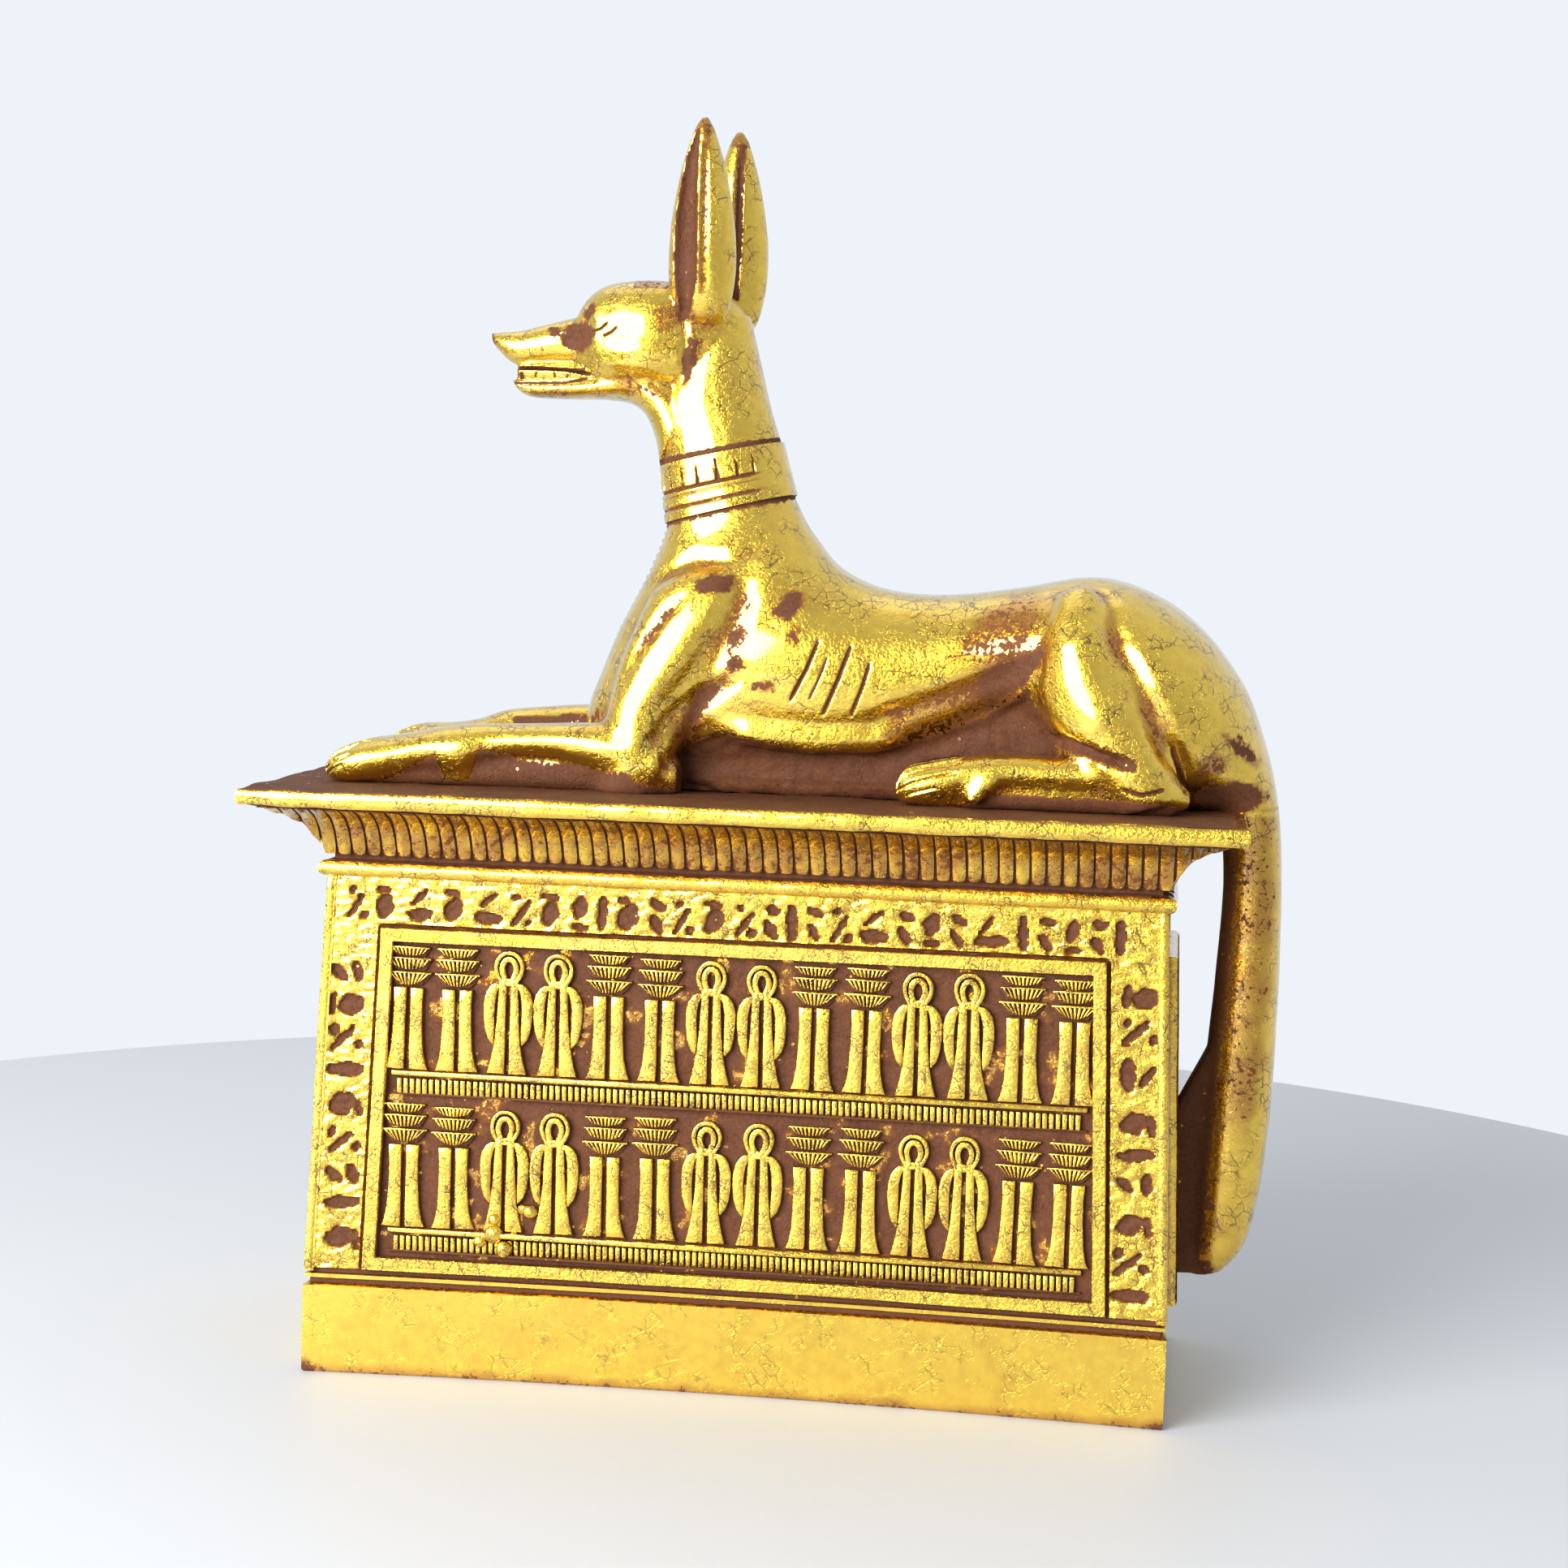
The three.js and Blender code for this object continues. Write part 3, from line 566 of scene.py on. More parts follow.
# Each station of a knot's arm: its middle, half width and height
ARM = (
    ((0.118, 0.008, 0.235), (0.138, 0.03, 0.29), (0.15, 0.042, 0.37), (0.157, 0.046, 0.48))
    + ((0.155, 0.047, 0.58), (0.139, 0.046, 0.66), (0.112, 0.04, 0.71), (0.086, 0.026, 0.74))
)
# The knot's two nested loops: half width, top, foot, half width at the foot and the band's width
LOOPS = ((0.126, 1.0, 0.71, 0.088, 0.034), (0.08, 0.955, 0.73, 0.062, 0.046))
# How far up the hollow moulding its upright leaves reach, as a share of its slanting length
LEAF_LENGTH = 0.9
# How far the long walls are drawn in at the middle of their foot
DRAWN_IN = 3.2 * MM

# The camera, fitted to the edges of the chest: place in mm, yaw, pitch and roll in degrees, and the
# focal length in pixels of the square picture
CAMERA_PLACE = (77.54, -545.48, 157.76)
CAMERA_TURN = (7.720, -4.779, 1.684)
FOCAL_PIXELS = 3546.3
PICTURE_PIXELS = 1932
SENSOR_WIDTH = 36
# Soft lights: place, share of the key's power, width and height
LIGHTS = {
    "key": ((-0.5, -0.74, 0.37), 1, 0.86, 0.68),
    "top": ((-0.2, 0.35, 1.0), 0.05, 0.9, 0.7),
}
LIT_POINT = (0, 0, 0.12)
# The direction in which the surround shines more strongly
BRIGHT_SIDE = (0.2, 0.65, 0.25)
FLOOR_MIDDLE = (-0.027, 0.06, 0)
FLOOR_RADIUS = 0.3


def read_off(values, table):
    """Reads a table of pairs, running straight from one to the next."""
    return np.interp(values, *zip(*table))


def station(rows, share):
    """Reads a table of stations at any place along it, 0 at the first row and 1 at the last."""
    place = share * (len(rows) - 1)
    first = min(int(place), len(rows) - 2)
    t = place - first
    p, q, r, s = (np.array(rows[min(max(first + k, 0), len(rows) - 1)], float) for k in (-1, 0, 1, 2))
    return 0.5 * (2 * q + (r - p) * t + (2 * p - 5 * q + 4 * r - s) * t**2 + (3 * q - 3 * r + s - p) * t**3)


def pick(obj):
    """Makes obj the only selected object."""
    bpy.ops.object.select_all(action="DESELECT")
    obj.select_set(True)
    bpy.context.view_layer.objects.active = obj


def start(add, name, **settings):
    """Adds a primitive and opens it in edit mode with all of it selected."""
    bpy.ops.object.select_all(action="DESELECT")
    add(**settings)
    obj = bpy.context.object
    obj.name = name
    bpy.ops.object.mode_set(mode="EDIT")
    bpy.ops.mesh.select_all(action="SELECT")
    return obj


def close_edit():
    bpy.ops.object.mode_set(mode="OBJECT")


def close_outwards():
    """Turns every face of the form that is open in edit mode outwards, and closes it."""
    bpy.ops.mesh.select_all(action="SELECT")
    bpy.ops.mesh.normals_make_consistent(inside=False)
    close_edit()


def choose(obj, kind, chosen):
    """Opens obj in edit mode with just these faces or edges selected."""
    pick(obj)
    bpy.ops.object.mode_set(mode="EDIT")
    bpy.ops.mesh.select_mode(type=kind)
    bpy.ops.mesh.select_all(action="DESELECT")
    close_edit()
    elements = obj.data.polygons if kind == "FACE" else obj.data.edges
    elements.foreach_set("select", np.asarray(chosen, bool))
    bpy.ops.object.mode_set(mode="EDIT")


def choose_all(obj):
    """Opens obj in edit mode with all of it selected."""
    pick(obj)
    bpy.ops.object.mode_set(mode="EDIT")
    bpy.ops.mesh.select_all(action="SELECT")


def copied(model, move):
    """A copy of model with its own mesh, moved by a matrix."""
    copy = model.copy()
    copy.data = model.data.copy()
    bpy.context.scene.collection.objects.link(copy)
    copy.data.transform(move)
    return copy


def joined(parts, name):
    """Joins parts into one object."""
    bpy.ops.object.select_all(action="DESELECT")
    for part in parts:
        part.select_set(True)
    bpy.context.view_layer.objects.active = parts[0]
    if len(parts) > 1:
        bpy.ops.object.join()
    whole = bpy.context.object
    whole.name = name
    return whole


def modified(obj, kind, **settings):
    """Adds a modifier with its settings and applies it."""
    pick(obj)
    modifier = obj.modifiers.new(kind.title(), kind)
    for key, value in settings.items():
        setattr(modifier, key, value)
    bpy.ops.object.modifier_apply(modifier=modifier.name)
    return obj


def array_of(obj):
    """The vertices' places and normals as arrays, in metres."""
    count = len(obj.data.vertices)
    places = np.empty(count * 3)
    normals = np.empty(count * 3)
    obj.data.vertices.foreach_get("co", places)
    obj.data.vertices.foreach_get("normal", normals)
    return places.reshape(-1, 3), normals.reshape(-1, 3)


def place_all(obj, places):
    """Moves the vertices to these places, in metres."""
    obj.data.vertices.foreach_set("co", places.ravel())
    obj.data.update()


def over_deck(obj):
    """The vertices' places in mm, with their heights over the deck, and their normals."""
    places, normals = array_of(obj)
    return (places - [0, 0, levels()["deck"]]) / MM, normals


def press(obj, depth):
    """Presses the surface in by a depth in mm at each vertex."""
    places, normals = array_of(obj)
    place_all(obj, places - normals * depth[:, None] * MM)


def uneven(places, size, offset=(0, 0, 0)):
    """Smooth noise from -1 to 1 at each place, in lumps of about this size."""
    shift = Vector(offset)
    return np.array([noise.noise(Vector(p) / size + shift) for p in places])


def loft(name, rows, side=0, sides=28, steps=4, grow=0.0, square=2.25, shift=0.0):
    """A closed form through the stations of rows, drawn by extruding a ring along them."""
    packed = (-LOW.x, HIGH.y, HIGH.z - levels()["deck"])
    stretch = Vector([size / drawn for size, drawn in zip(packed, DRAWN_SIZES)])
    obj = start(bpy.ops.mesh.primitive_circle_add, name, vertices=sides, radius=1.0, fill_type="NGON")
    close_edit()
    for vertex in obj.data.vertices:
        for axis in (0, 1):
            value = vertex.co[axis]
            vertex.co[axis] = math.copysign(abs(value) ** (2 / square), value)
    choose_all(obj)
    centre, half, turn = Vector((0, 0, 0)), (1.0, 1.0), 0.0
    count = steps * (len(rows) - 1)
    for k in range(count + 1):
        back_x, back_z, belly_x, belly_z, width, aside = station(rows, k / count)
        length = math.hypot(back_x - belly_x, back_z - belly_z)
        new_half = ((length / 2 + grow) * MM, (width + grow) * MM)
        new_turn = math.atan2(back_z - belly_z, back_x - belly_x)
        middle = Vector(((back_x + belly_x) / 2 + shift, side * aside, (back_z + belly_z) / 2))
        new_centre = middle * MM * stretch + Vector((0, 0, levels()["deck"]))
        if k:
            bpy.ops.mesh.extrude_region_move()
        turned = {"orient_axis": "Y", "orient_type": "GLOBAL", "center_override": centre}
        bpy.ops.transform.rotate(value=-turn, **turned)
        ratio = (new_half[0] / half[0], new_half[1] / half[1], 1)
        bpy.ops.transform.resize(value=ratio, center_override=centre)
        bpy.ops.transform.rotate(value=new_turn, **turned)
        bpy.ops.transform.translate(value=new_centre - centre)
        centre, half, turn = new_centre, new_half, new_turn
    close_outwards()
    return obj


def relax(obj, cell, rounds):
    """Fuses a form's overlapping shells into one skin of even cells and smooths it."""
    modified(obj, "REMESH", mode="VOXEL", voxel_size=cell)
    return modified(obj, "SMOOTH", factor=0.5, iterations=rounds)


def line_distance(flat, points):
    """Distance of flat places from a line of points, and how far along it they lie, 0 to 1."""
    points = np.array(points, float)
    steps = np.diff(points, axis=0)
    lengths = np.hypot(steps[:, 0], steps[:, 1])
    before = np.concatenate([[0], np.cumsum(lengths)])
    best = np.full(len(flat), 1e9)
    along = np.zeros(len(flat))
    for k, (point, step, length) in enumerate(zip(points, steps, lengths)):
        share = np.clip((flat - point) @ step / length**2, 0, 1)
        away = np.hypot(*(flat - point - share[:, None] * step).T)
        nearer = away < best
        best[nearer] = away[nearer]
        along[nearer] = (before[k] + share * length)[nearer]
    return best, along / before[-1]


def carve(obj, grooves, view="side", middle=0.0):
    """Presses grooves into both sides of a form, or raises ridges where the depth is below zero."""
    over, normals = over_deck(obj)
    push = np.zeros(len(over))
    for side in (-1, 1):
        if view == "side":
            flat = over[:, [0, 2]]
            facing = np.clip(normals[:, 1] * side * 2.5, 0, 1)
        else:
            flat = np.column_stack([over[:, 0], over[:, 1] * side - middle])
            facing = (over[:, 1] * side > 0) * np.clip(normals[:, 2] * 3 + 1, 0, 1) * (over[:, 2] < 14)
        for points, width, depth in grooves:
            away, along = line_distance(flat, points)
            bell = np.clip(1 - (away / width) ** 2, 0, 1) ** 2
            ends = np.clip(np.minimum(along, 1 - along) * 6 + 0.25, 0, 1)
            push += facing * bell * ends * depth
    press(obj, push)


def refine(obj, near, cuts=1):
    """Cuts the faces that near chooses into smaller ones, so that fine work comes out sharp."""
    centres, normals = np.empty((2, len(obj.data.polygons) * 3))
    obj.data.polygons.foreach_get("center", centres)
    obj.data.polygons.foreach_get("normal", normals)
    over = (centres.reshape(-1, 3) - [0, 0, levels()["deck"]]) / MM
    choose(obj, "FACE", near(over, normals.reshape(-1, 3)))
    bpy.ops.mesh.subdivide(number_cuts=cuts, smoothness=0)
    close_edit()


def beside(grooves, view="side", middle=0.0):
    """Chooses the places that lie on or close to grooves and face the side they are seen from."""

    def near(over, normals):
        flat = over[:, [0, 2]]
        here = (np.abs(over[:, 1]) > 2) & (normals[:, 1] * np.sign(over[:, 1]) > 0.1)
        if view == "top":
            flat = np.column_stack([over[:, 0], np.abs(over[:, 1]) - middle])
            here = (over[:, 2] < 14) & (normals[:, 2] > -0.1)
        chosen = np.zeros(len(over), bool)
        for points, width, _ in grooves:
            chosen |= here & (line_distance(flat, points)[0] < width * 1.3 + 0.2)
        return chosen

    return near


def weather(obj, depth, size, seed):
    """Moves the surface in and out a little, as a hand-finished casting is uneven."""
    places, normals = array_of(obj)
    lift = uneven(places, size, (seed * 7.3, seed * 1.9, seed * 4.1))
    place_all(obj, places + normals * lift[:, None] * depth)


def hollowness(obj, rounds=6):
    """How deep each vertex lies among its neighbours, spread out over a few cells."""
    places, normals = array_of(obj)
    mesh = obj.data
    pairs = np.empty(len(mesh.edges) * 2, int)
    mesh.edges.foreach_get("vertices", pairs)
    a, b = pairs.reshape(-1, 2).T
    links = np.bincount(np.concatenate([a, b]), minlength=len(places)).clip(1)

    def spread(values):
        total = np.zeros_like(values)
        np.add.at(total, a, values[b])
        np.add.at(total, b, values[a])
        return total / (links[:, None] if values.ndim == 2 else links)

    far = places.copy()
    for _ in range(rounds):
        far = spread(far)
    deep = np.einsum("ij,ij->i", far - places, normals) / MM
    for _ in range(rounds // 2):
        deep = spread(deep)
    return deep


def paint(obj, leaf):
    """Keeps on each vertex how much leaf is left there, lowered also where shade is painted: 1 is whole, 0 is
    bare bole.
    """
    attribute = obj.data.attributes.get("leaf") or obj.data.attributes.new("leaf", "FLOAT", "POINT")
    attribute.data.foreach_set("value", np.clip(leaf, 0, 1).astype(np.float32))


def blot(flat, middle, reach, turn=0.0):
    """1 at the middle of an oval, falling softly to 0 at its edge."""
    away = flat - np.array(middle, float)
    c, s = math.cos(math.radians(turn)), math.sin(math.radians(turn))
    across = np.column_stack([away @ [c, s], away @ [-s, c]]) / np.array(reach, float)
    return np.clip(1.25 * (1 - (across**2).sum(axis=1)), 0, 1)


# Where the push of the worn spots' torn edges is read in the noise, so that each run is the same
TORN_ALONG, TORN_UP = (31, 7, 15), (3, 42, 28)


def frayed(flat, over, size=2.4, reach=1.1):
    """The same places pushed about a little, so that worn spots get torn edges."""
    push = np.zeros((len(over), 2))
    for column, offset in enumerate((TORN_ALONG, TORN_UP)):
        for width, share in ((size, 1.0), (0.3 * size, 0.6)):
            push[:, column] += share * uneven(over, width, offset)
    return flat + push * reach


def rubbed_and_shaded(leaf, flat, spots, here=1, slip=0.0):
    """The leaf that is left after the worn spots and the spots of painted shade, which may be slipped back
    along the form.
    """
    for (along, up), reach, turn, loss in spots:
        leaf = leaf - here * blot(flat, (along + slip, up), reach, turn) * loss
    return leaf


def inked(flat, grooves):
    """1 in the bottom of the grooves and 0 beside them, for the dark bole that stays there."""
    dark = np.zeros(len(flat))
    for points, width, _ in grooves:
        away, along = line_distance(flat, points)
        between = np.minimum(along, 1 - along) > 0.01
        dark = np.maximum(dark, ramp(-away, -0.75 * width, -0.35 * width) * between)
    return dark


def within(over, rows, side, shift=0.0):
    """How far places lie from the middle line of a level form, 1 on its skin."""
    table = np.array(rows, float)
    back, _, front, _, half, aside = (np.interp(over[:, 2], table[:, 1], column) for column in table.T)
    across = (over[:, 0] - (back + front) / 2 - shift) / ((back - front) / 2)
    away = np.hypot(across, (over[:, 1] * side - aside) / half)
    return np.where((over[:, 2] < table[0, 1]) | (over[:, 2] > table[-1, 1]), 9.0, away)


def ramp(values, low, high):
    """Rises softly from 0 to 1 as the values go from low to high."""
    t = np.clip((values - low) / (high - low), 0, 1)
    return t * t * (3 - 2 * t)


def hand_in(obj, material, angle=40):
    """Gives a finished piece its shading, its finish and its place in the frame."""
    pick(obj)
    bpy.ops.object.shade_smooth_by_angle(angle=math.radians(angle))
    obj.data.materials.clear()
    obj.data.materials.append(material)
    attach(obj, BODY)
    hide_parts(NODE)


def node(tree, kind, inputs=(), output=0, **settings):
    """Adds a shader node with its settings and inputs, and gives one of its outputs.

    Inputs come in order or by name, and each is a value or the output of another node.
    """
    new = tree.nodes.new("ShaderNode" + kind)
    for key, value in settings.items():
        setattr(new, key, value)
    for key, value in inputs.items() if isinstance(inputs, dict) else enumerate(inputs):
        if isinstance(value, bpy.types.NodeSocket):
            tree.links.new(value, new.inputs[key])
        else:
            new.inputs[key].default_value = value
    return new.outputs[output] if new.outputs else None


# Metal leaf over red-brown bole on cast resin: the leaf is a bright, wrinkled yellow metal with
# hairline cracks, thin and orange where it is rubbed, and the bole under it is a dull brown. Where the
# leaf is thinned or left off as painted shade, these deep golds and browns stand for shade. The
# clear lacquer over the leaf gives white highlights on the yellow metal.
def gilding(name, ragged_depth=0.9, wrinkle_depth=1.0, crack_depth=0.95):
    """The gilded finish, or its variant with other torn edges, wrinkles and cracks."""
    existing = bpy.data.materials.get(name)
    if existing:
        return existing
    look = sizes("gilding_look")
    material = bpy.data.materials.new(name)
    material.use_nodes = True
    tree = material.node_tree
    tree.nodes.clear()
    soft = {"interpolation_type": "SMOOTHSTEP"}
    place = node(tree, "TexCoord", output="Object")
    leaf = node(tree, "Attribute", output="Fac", attribute_name="leaf", attribute_type="GEOMETRY")

    # Each grain of the finish: its size, how many finer sizes it holds, how strong they are and
    # how far it is curled
    grain = {}
    for title, size, detail, rough, curl in (
        ("ragged", 1.1 * MM, 5, 0.62, 0),
        ("cloudy", 7 * MM, 3, 0.55, 0),
        ("bend", 1.5 * MM, 2, 0.5, 0),
        ("patchy", 5 * MM, 2, 0.5, 0),
        ("swirl", 1.5 * MM, 2, 0.5, 1.2),
        ("tint", 2.2 * MM, 4, 0.6, 0),
        ("earth", 0.8 * MM, 4, 0.7, 0),
        ("polish", 1.8 * MM, 3, 0.6, 0),
        ("wrinkles", look.wrinkle, 3, 0.65, 0.6),
        ("folds", 2.4 * MM, 2, 0.5, 0),
    ):
        inputs = {"Vector": place, "Scale": 1 / size, "Detail": detail}
        grain[title] = node(tree, "TexNoise", {**inputs, "Roughness": rough, "Distortion": curl})

    # Where the leaf is whole: what the vertices keep of it, with torn edges, and stray specks
    torn = node(tree, "Math", [grain["ragged"], 2 * ragged_depth, -ragged_depth], operation="MULTIPLY_ADD")
    clouded = node(tree, "Math", [grain["cloudy"], 0.6, -0.3], operation="MULTIPLY_ADD")
    clouded = node(tree, "Math", [leaf, clouded], operation="ADD")
    worn = node(tree, "Math", [clouded, torn], operation="ADD")
    whole = node(tree, "MapRange", [worn, 0.46, 0.56], **soft)
    chance = node(tree, "TexVoronoi", {"Vector": place, "Scale": 1 / (2.1 * MM)}, output="Color")
    distance = chance.node.outputs["Distance"]
    chance = node(tree, "SeparateColor", [chance])
    size = node(tree, "MapRange", [chance, 0.5, 1.0, 0.0, 0.16])
    speck = node(tree, "Math", [distance, size], operation="LESS_THAN")
    whole = node(tree, "Math", [whole, speck], operation="MAXIMUM")
    thick = node(tree, "MapRange", [clouded, 0.55, 1.0], **soft)

    # Hairline cracks between bent cells, and curly hair-fine wrinkles, both only in patches
    bent = {0: grain["bend"].node.outputs["Color"], "Scale": 1.4 * MM}
    bent = node(tree, "VectorMath", bent, operation="SCALE")
    bent = node(tree, "VectorMath", [place, bent], operation="ADD")
    cells = {"Vector": bent, "Scale": 1 / look.crack}
    edge = node(tree, "TexVoronoi", cells, output="Distance", feature="DISTANCE_TO_EDGE")
    crack = node(tree, "MapRange", [edge, 0.015, 0.055, 1.0, 0.0], **soft)
    patch = node(tree, "MapRange", [grain["patchy"], 0.48, 0.6], **soft)
    crack = node(tree, "Math", [crack, patch], operation="MULTIPLY")
    swirl = node(tree, "Math", [grain["swirl"], 0.5], operation="SUBTRACT")
    swirl = node(tree, "Math", [swirl], operation="ABSOLUTE")
    hair = node(tree, "MapRange", [swirl, 0.0, 0.028, 1.0, 0.0], **soft)
    patch = node(tree, "MapRange", [grain["patchy"], 0.38, 0.56], **soft)
    hair = node(tree, "Math", [hair, patch], operation="MULTIPLY")

    # Colours, each laid over the one before by its share
    deep, bright = (*look.deep, 1), (*look.bright, 1)
    tint = node(tree, "MapRange", [grain["tint"], 0.3, 0.7, 0.0, 0.3])
    hair_share = node(tree, "Math", [hair, 0.6 * wrinkle_depth], operation="MULTIPLY")
    crack_share = node(tree, "Math", [crack, 0.75 * crack_depth], operation="MULTIPLY")
    gold, hair_brown, crack_brown = deep, (*linear("#8A6018"), 1), (*linear("#5A3A12"), 1)
    for share, over in ((thick, bright), (tint, deep), (hair_share, hair_brown), (crack_share, crack_brown)):
        gold = node(tree, "Mix", {0: share, 6: gold, 7: over}, output=2, data_type="RGBA")
    dark, light = ((*(min(1.0, share * c) for c in look.bole), 1) for share in (0.72, 1.25))
    earth = node(tree, "MapRange", [grain["earth"], 0.3, 0.75])
    glazed = node(tree, "MapRange", [leaf, 0.2, 0.55, 0.0, 0.6], **soft)
    colour = dark
    for share, over in ((earth, light), (glazed, (*look.glaze, 1)), (whole, gold)):
        colour = node(tree, "Mix", {0: share, 6: colour, 7: over}, output=2, data_type="RGBA")

    metallic = node(tree, "Math", [whole, 0.97], operation="MULTIPLY")
    polish = node(tree, "MapRange", [grain["polish"], 0.35, 0.7, 0.12, 0.26])
    rough = node(tree, "Mix", {0: whole, 2: 0.7, 3: polish})

    # The relief of the leaf in mm
    height = 0.0
    for relief, tall in (
        (grain["wrinkles"], 0.09 * wrinkle_depth),
        (grain["folds"], 0.15 * wrinkle_depth),
        (crack, -0.05 * crack_depth),
        (whole, 0.04),
        (hair, -0.035 * wrinkle_depth),
    ):
        height = node(tree, "Math", [relief, tall, height], operation="MULTIPLY_ADD")
    bump = node(tree, "Bump", {"Height": height, "Distance": MM, "Strength": 1.0})
    inputs = {"Base Color": colour, "Metallic": metallic, "Roughness": rough, "Normal": bump}
    lacquer = {"Coat Weight": whole, "Coat Roughness": 0.08, "Coat IOR": 1.62}
    shader = node(tree, "BsdfPrincipled", {**inputs, **lacquer, "Specular IOR Level": 0.25})
    node(tree, "OutputMaterial", {"Surface": shader})
    return material


class JACKAL_OT_body(Operator):
    """Models the jackal from the tail's tip to the collar, with its legs"""

    bl_idname = "jackal.body"
    bl_label = "Body"

    def execute(self, context):
        parts = [loft("spine", SPINE[: NECK_CUT + 1])]
        for side in (-1, 1):
            foreleg = NEAR_FORELEG if side < 0 else FAR_FORELEG
            for rows in (UPPER_ARM, THIGH, foreleg, HIND_FOOT, DEW_CLAW, LEG_WEB, FOOT_WEB):
                parts.append(loft("limb", rows, side=side, sides=20, steps=5))
        parts.append(loft("ground", UNDER_BELLY, sides=20, square=5))
        parts.append(loft("rump", RUMP_WEB, sides=20, square=3))
        parts.append(loft("web", TAIL_WEB, sides=20, square=5))
        body = relax(joined(parts, "jackal_body"), sizes("jackal_sizes").body_cell, 6)
        carve(body, BODY_HOLLOWS)
        weather(body, 0.00012, 0.009, 1)
        refine(body, beside(BODY_GROOVES), 2)
        refine(body, beside(PAW_GROOVES, "top", PAW_MIDDLE))
        refine(body, beside(TOE_GROOVES, "top", TOE_MIDDLE))
        refine(body, lambda over, normals: self.on_breast(over) & (normals[:, 0] < 0), 3)
        carve(body, BODY_GROOVES)
        carve(body, PAW_GROOVES, "top", PAW_MIDDLE)
        carve(body, TOE_GROOVES, "top", TOE_MIDDLE)
        self.notch_breast(body)
        self.recess_web(body)
        leaf = self.flank_leaf(body)
        for part in (self.leg_leaf, self.worn_and_shaded_leaf, self.breast_leaf, self.tail_leaf):
            leaf = part(leaf, *over_deck(body))
        paint(body, leaf)
        hand_in(body, gilding("metal_leaf_on_bole"))
        return {"FINISHED"}

    def on_breast(self, over):
        """Chooses the strip that runs down the breast."""
        x, y, z = over.T
        return (np.abs(y) < 1.9) & (x < -14) & (z > 12) & (z < 52)

    def notch_beat(self, height):
        """Swings between 0 and 1, once for each notch down the breast."""
        return 0.5 + 0.5 * np.cos(2 * math.pi * height / NOTCH_PITCH)

    def notch_breast(self, body):
        """Presses the small notches of the strip that runs down the breast."""
        over, normals = over_deck(body)
        _, y, z = over.T
        here = self.on_breast(over) & (normals[:, 0] < -0.4)
        inside = np.clip(1.6 - np.abs(y), 0, 1) * ramp(z, 12, 14) * ramp(-z, -52, -49)
        press(body, here * inside * (0.7 * self.notch_beat(z) ** 3 - 0.35))

    def on_web(self, over):
        """Chooses the bare web under the belly."""
        x, y, z = over.T
        return (np.abs(y) < read_off(x, WEB_WIDTH)) & (x > -24) & (x < 78) & (z < read_off(x, WEB_HEIGHT))

    def recess_web(self, body):
        """Sets the web back from the belly over it, and leaves it rough."""
        over, normals = over_deck(body)
        x, _, z = over.T
        under = ramp(read_off(x, WEB_HEIGHT) - z, 0, 1.6) * self.on_web(over) * (z > 0.2)
        sideways = np.clip(np.abs(normals[:, 1]) * 2, 0, 1)
        step = 0.9 + 0.35 * uneven(over, 2.2) - 1.5 * ramp(-z, -2.6, -2.2) * ramp(x, -14, -4)
        press(body, under * sideways * step)

    def at_elbow(self, over):
        """Chooses the forelegs' elbows."""
        x, y, z = over.T
        return (x > -24) & (x < -6) & (z < 15) & (np.abs(y) > 12)

    def bare_web(self, over):
        """Chooses the web without the elbows, which keep their leaf."""
        return self.on_web(over) & ~((np.abs(over[:, 1]) > 12) & (over[:, 0] < -14.5))

    def flank_leaf(self, body):
        """The leaf on the rounded flesh, thin in its hollows and gone in the grooves and the web, and thinned
        as painted shade where the flank turns under.
        """
        over, normals = over_deck(body)
        x, _, z = over.T
        web_top = read_off(x, WEB_HEIGHT)
        belly = (z > web_top) & (z < 16) & (x > -8) & (x < 26)
        most = np.where((z > 12) | self.at_elbow(over), 0.4, 0.7)
        leaf = 1 - np.clip(hollowness(body, 4) * 3, 0, most) * ~belly
        leaf -= inked(over[:, [0, 2]], BODY_GROOVES[:DARK_GROOVES]) * (np.abs(normals[:, 1]) > 0.3)
        leaf = np.where(self.bare_web(over), 0.1 + 0.3 * ramp(z - web_top, -2.2, 0) * (x < 36), leaf)
        # Painted shade: below this crease, where the flank turns under, the leaf is thinned to a deeper gold.
        crease = 15.5 + (x - 20) * 0.42
        turned_under_shade = ramp(crease - z, -0.8, 0.8) * ramp(x, 18, 30) * (x < 54) * (z > web_top)
        return leaf - 0.42 * turned_under_shade

    def leg_leaf(self, leaf, over, normals):
        """The leaf on the legs: their lower edges and the space between them are bare, and the bare lower
        edges also stand for painted shade under the legs.
        """
        x, y, z = over.T
        aside = np.abs(y)
        side_view = over[:, [0, 2]]
        on_fore = (x < -13) & (z < 16) & ((aside > 9) | (x < -30))
        ragged = frayed(side_view, over, 3.2, 1.2)[:, 1]
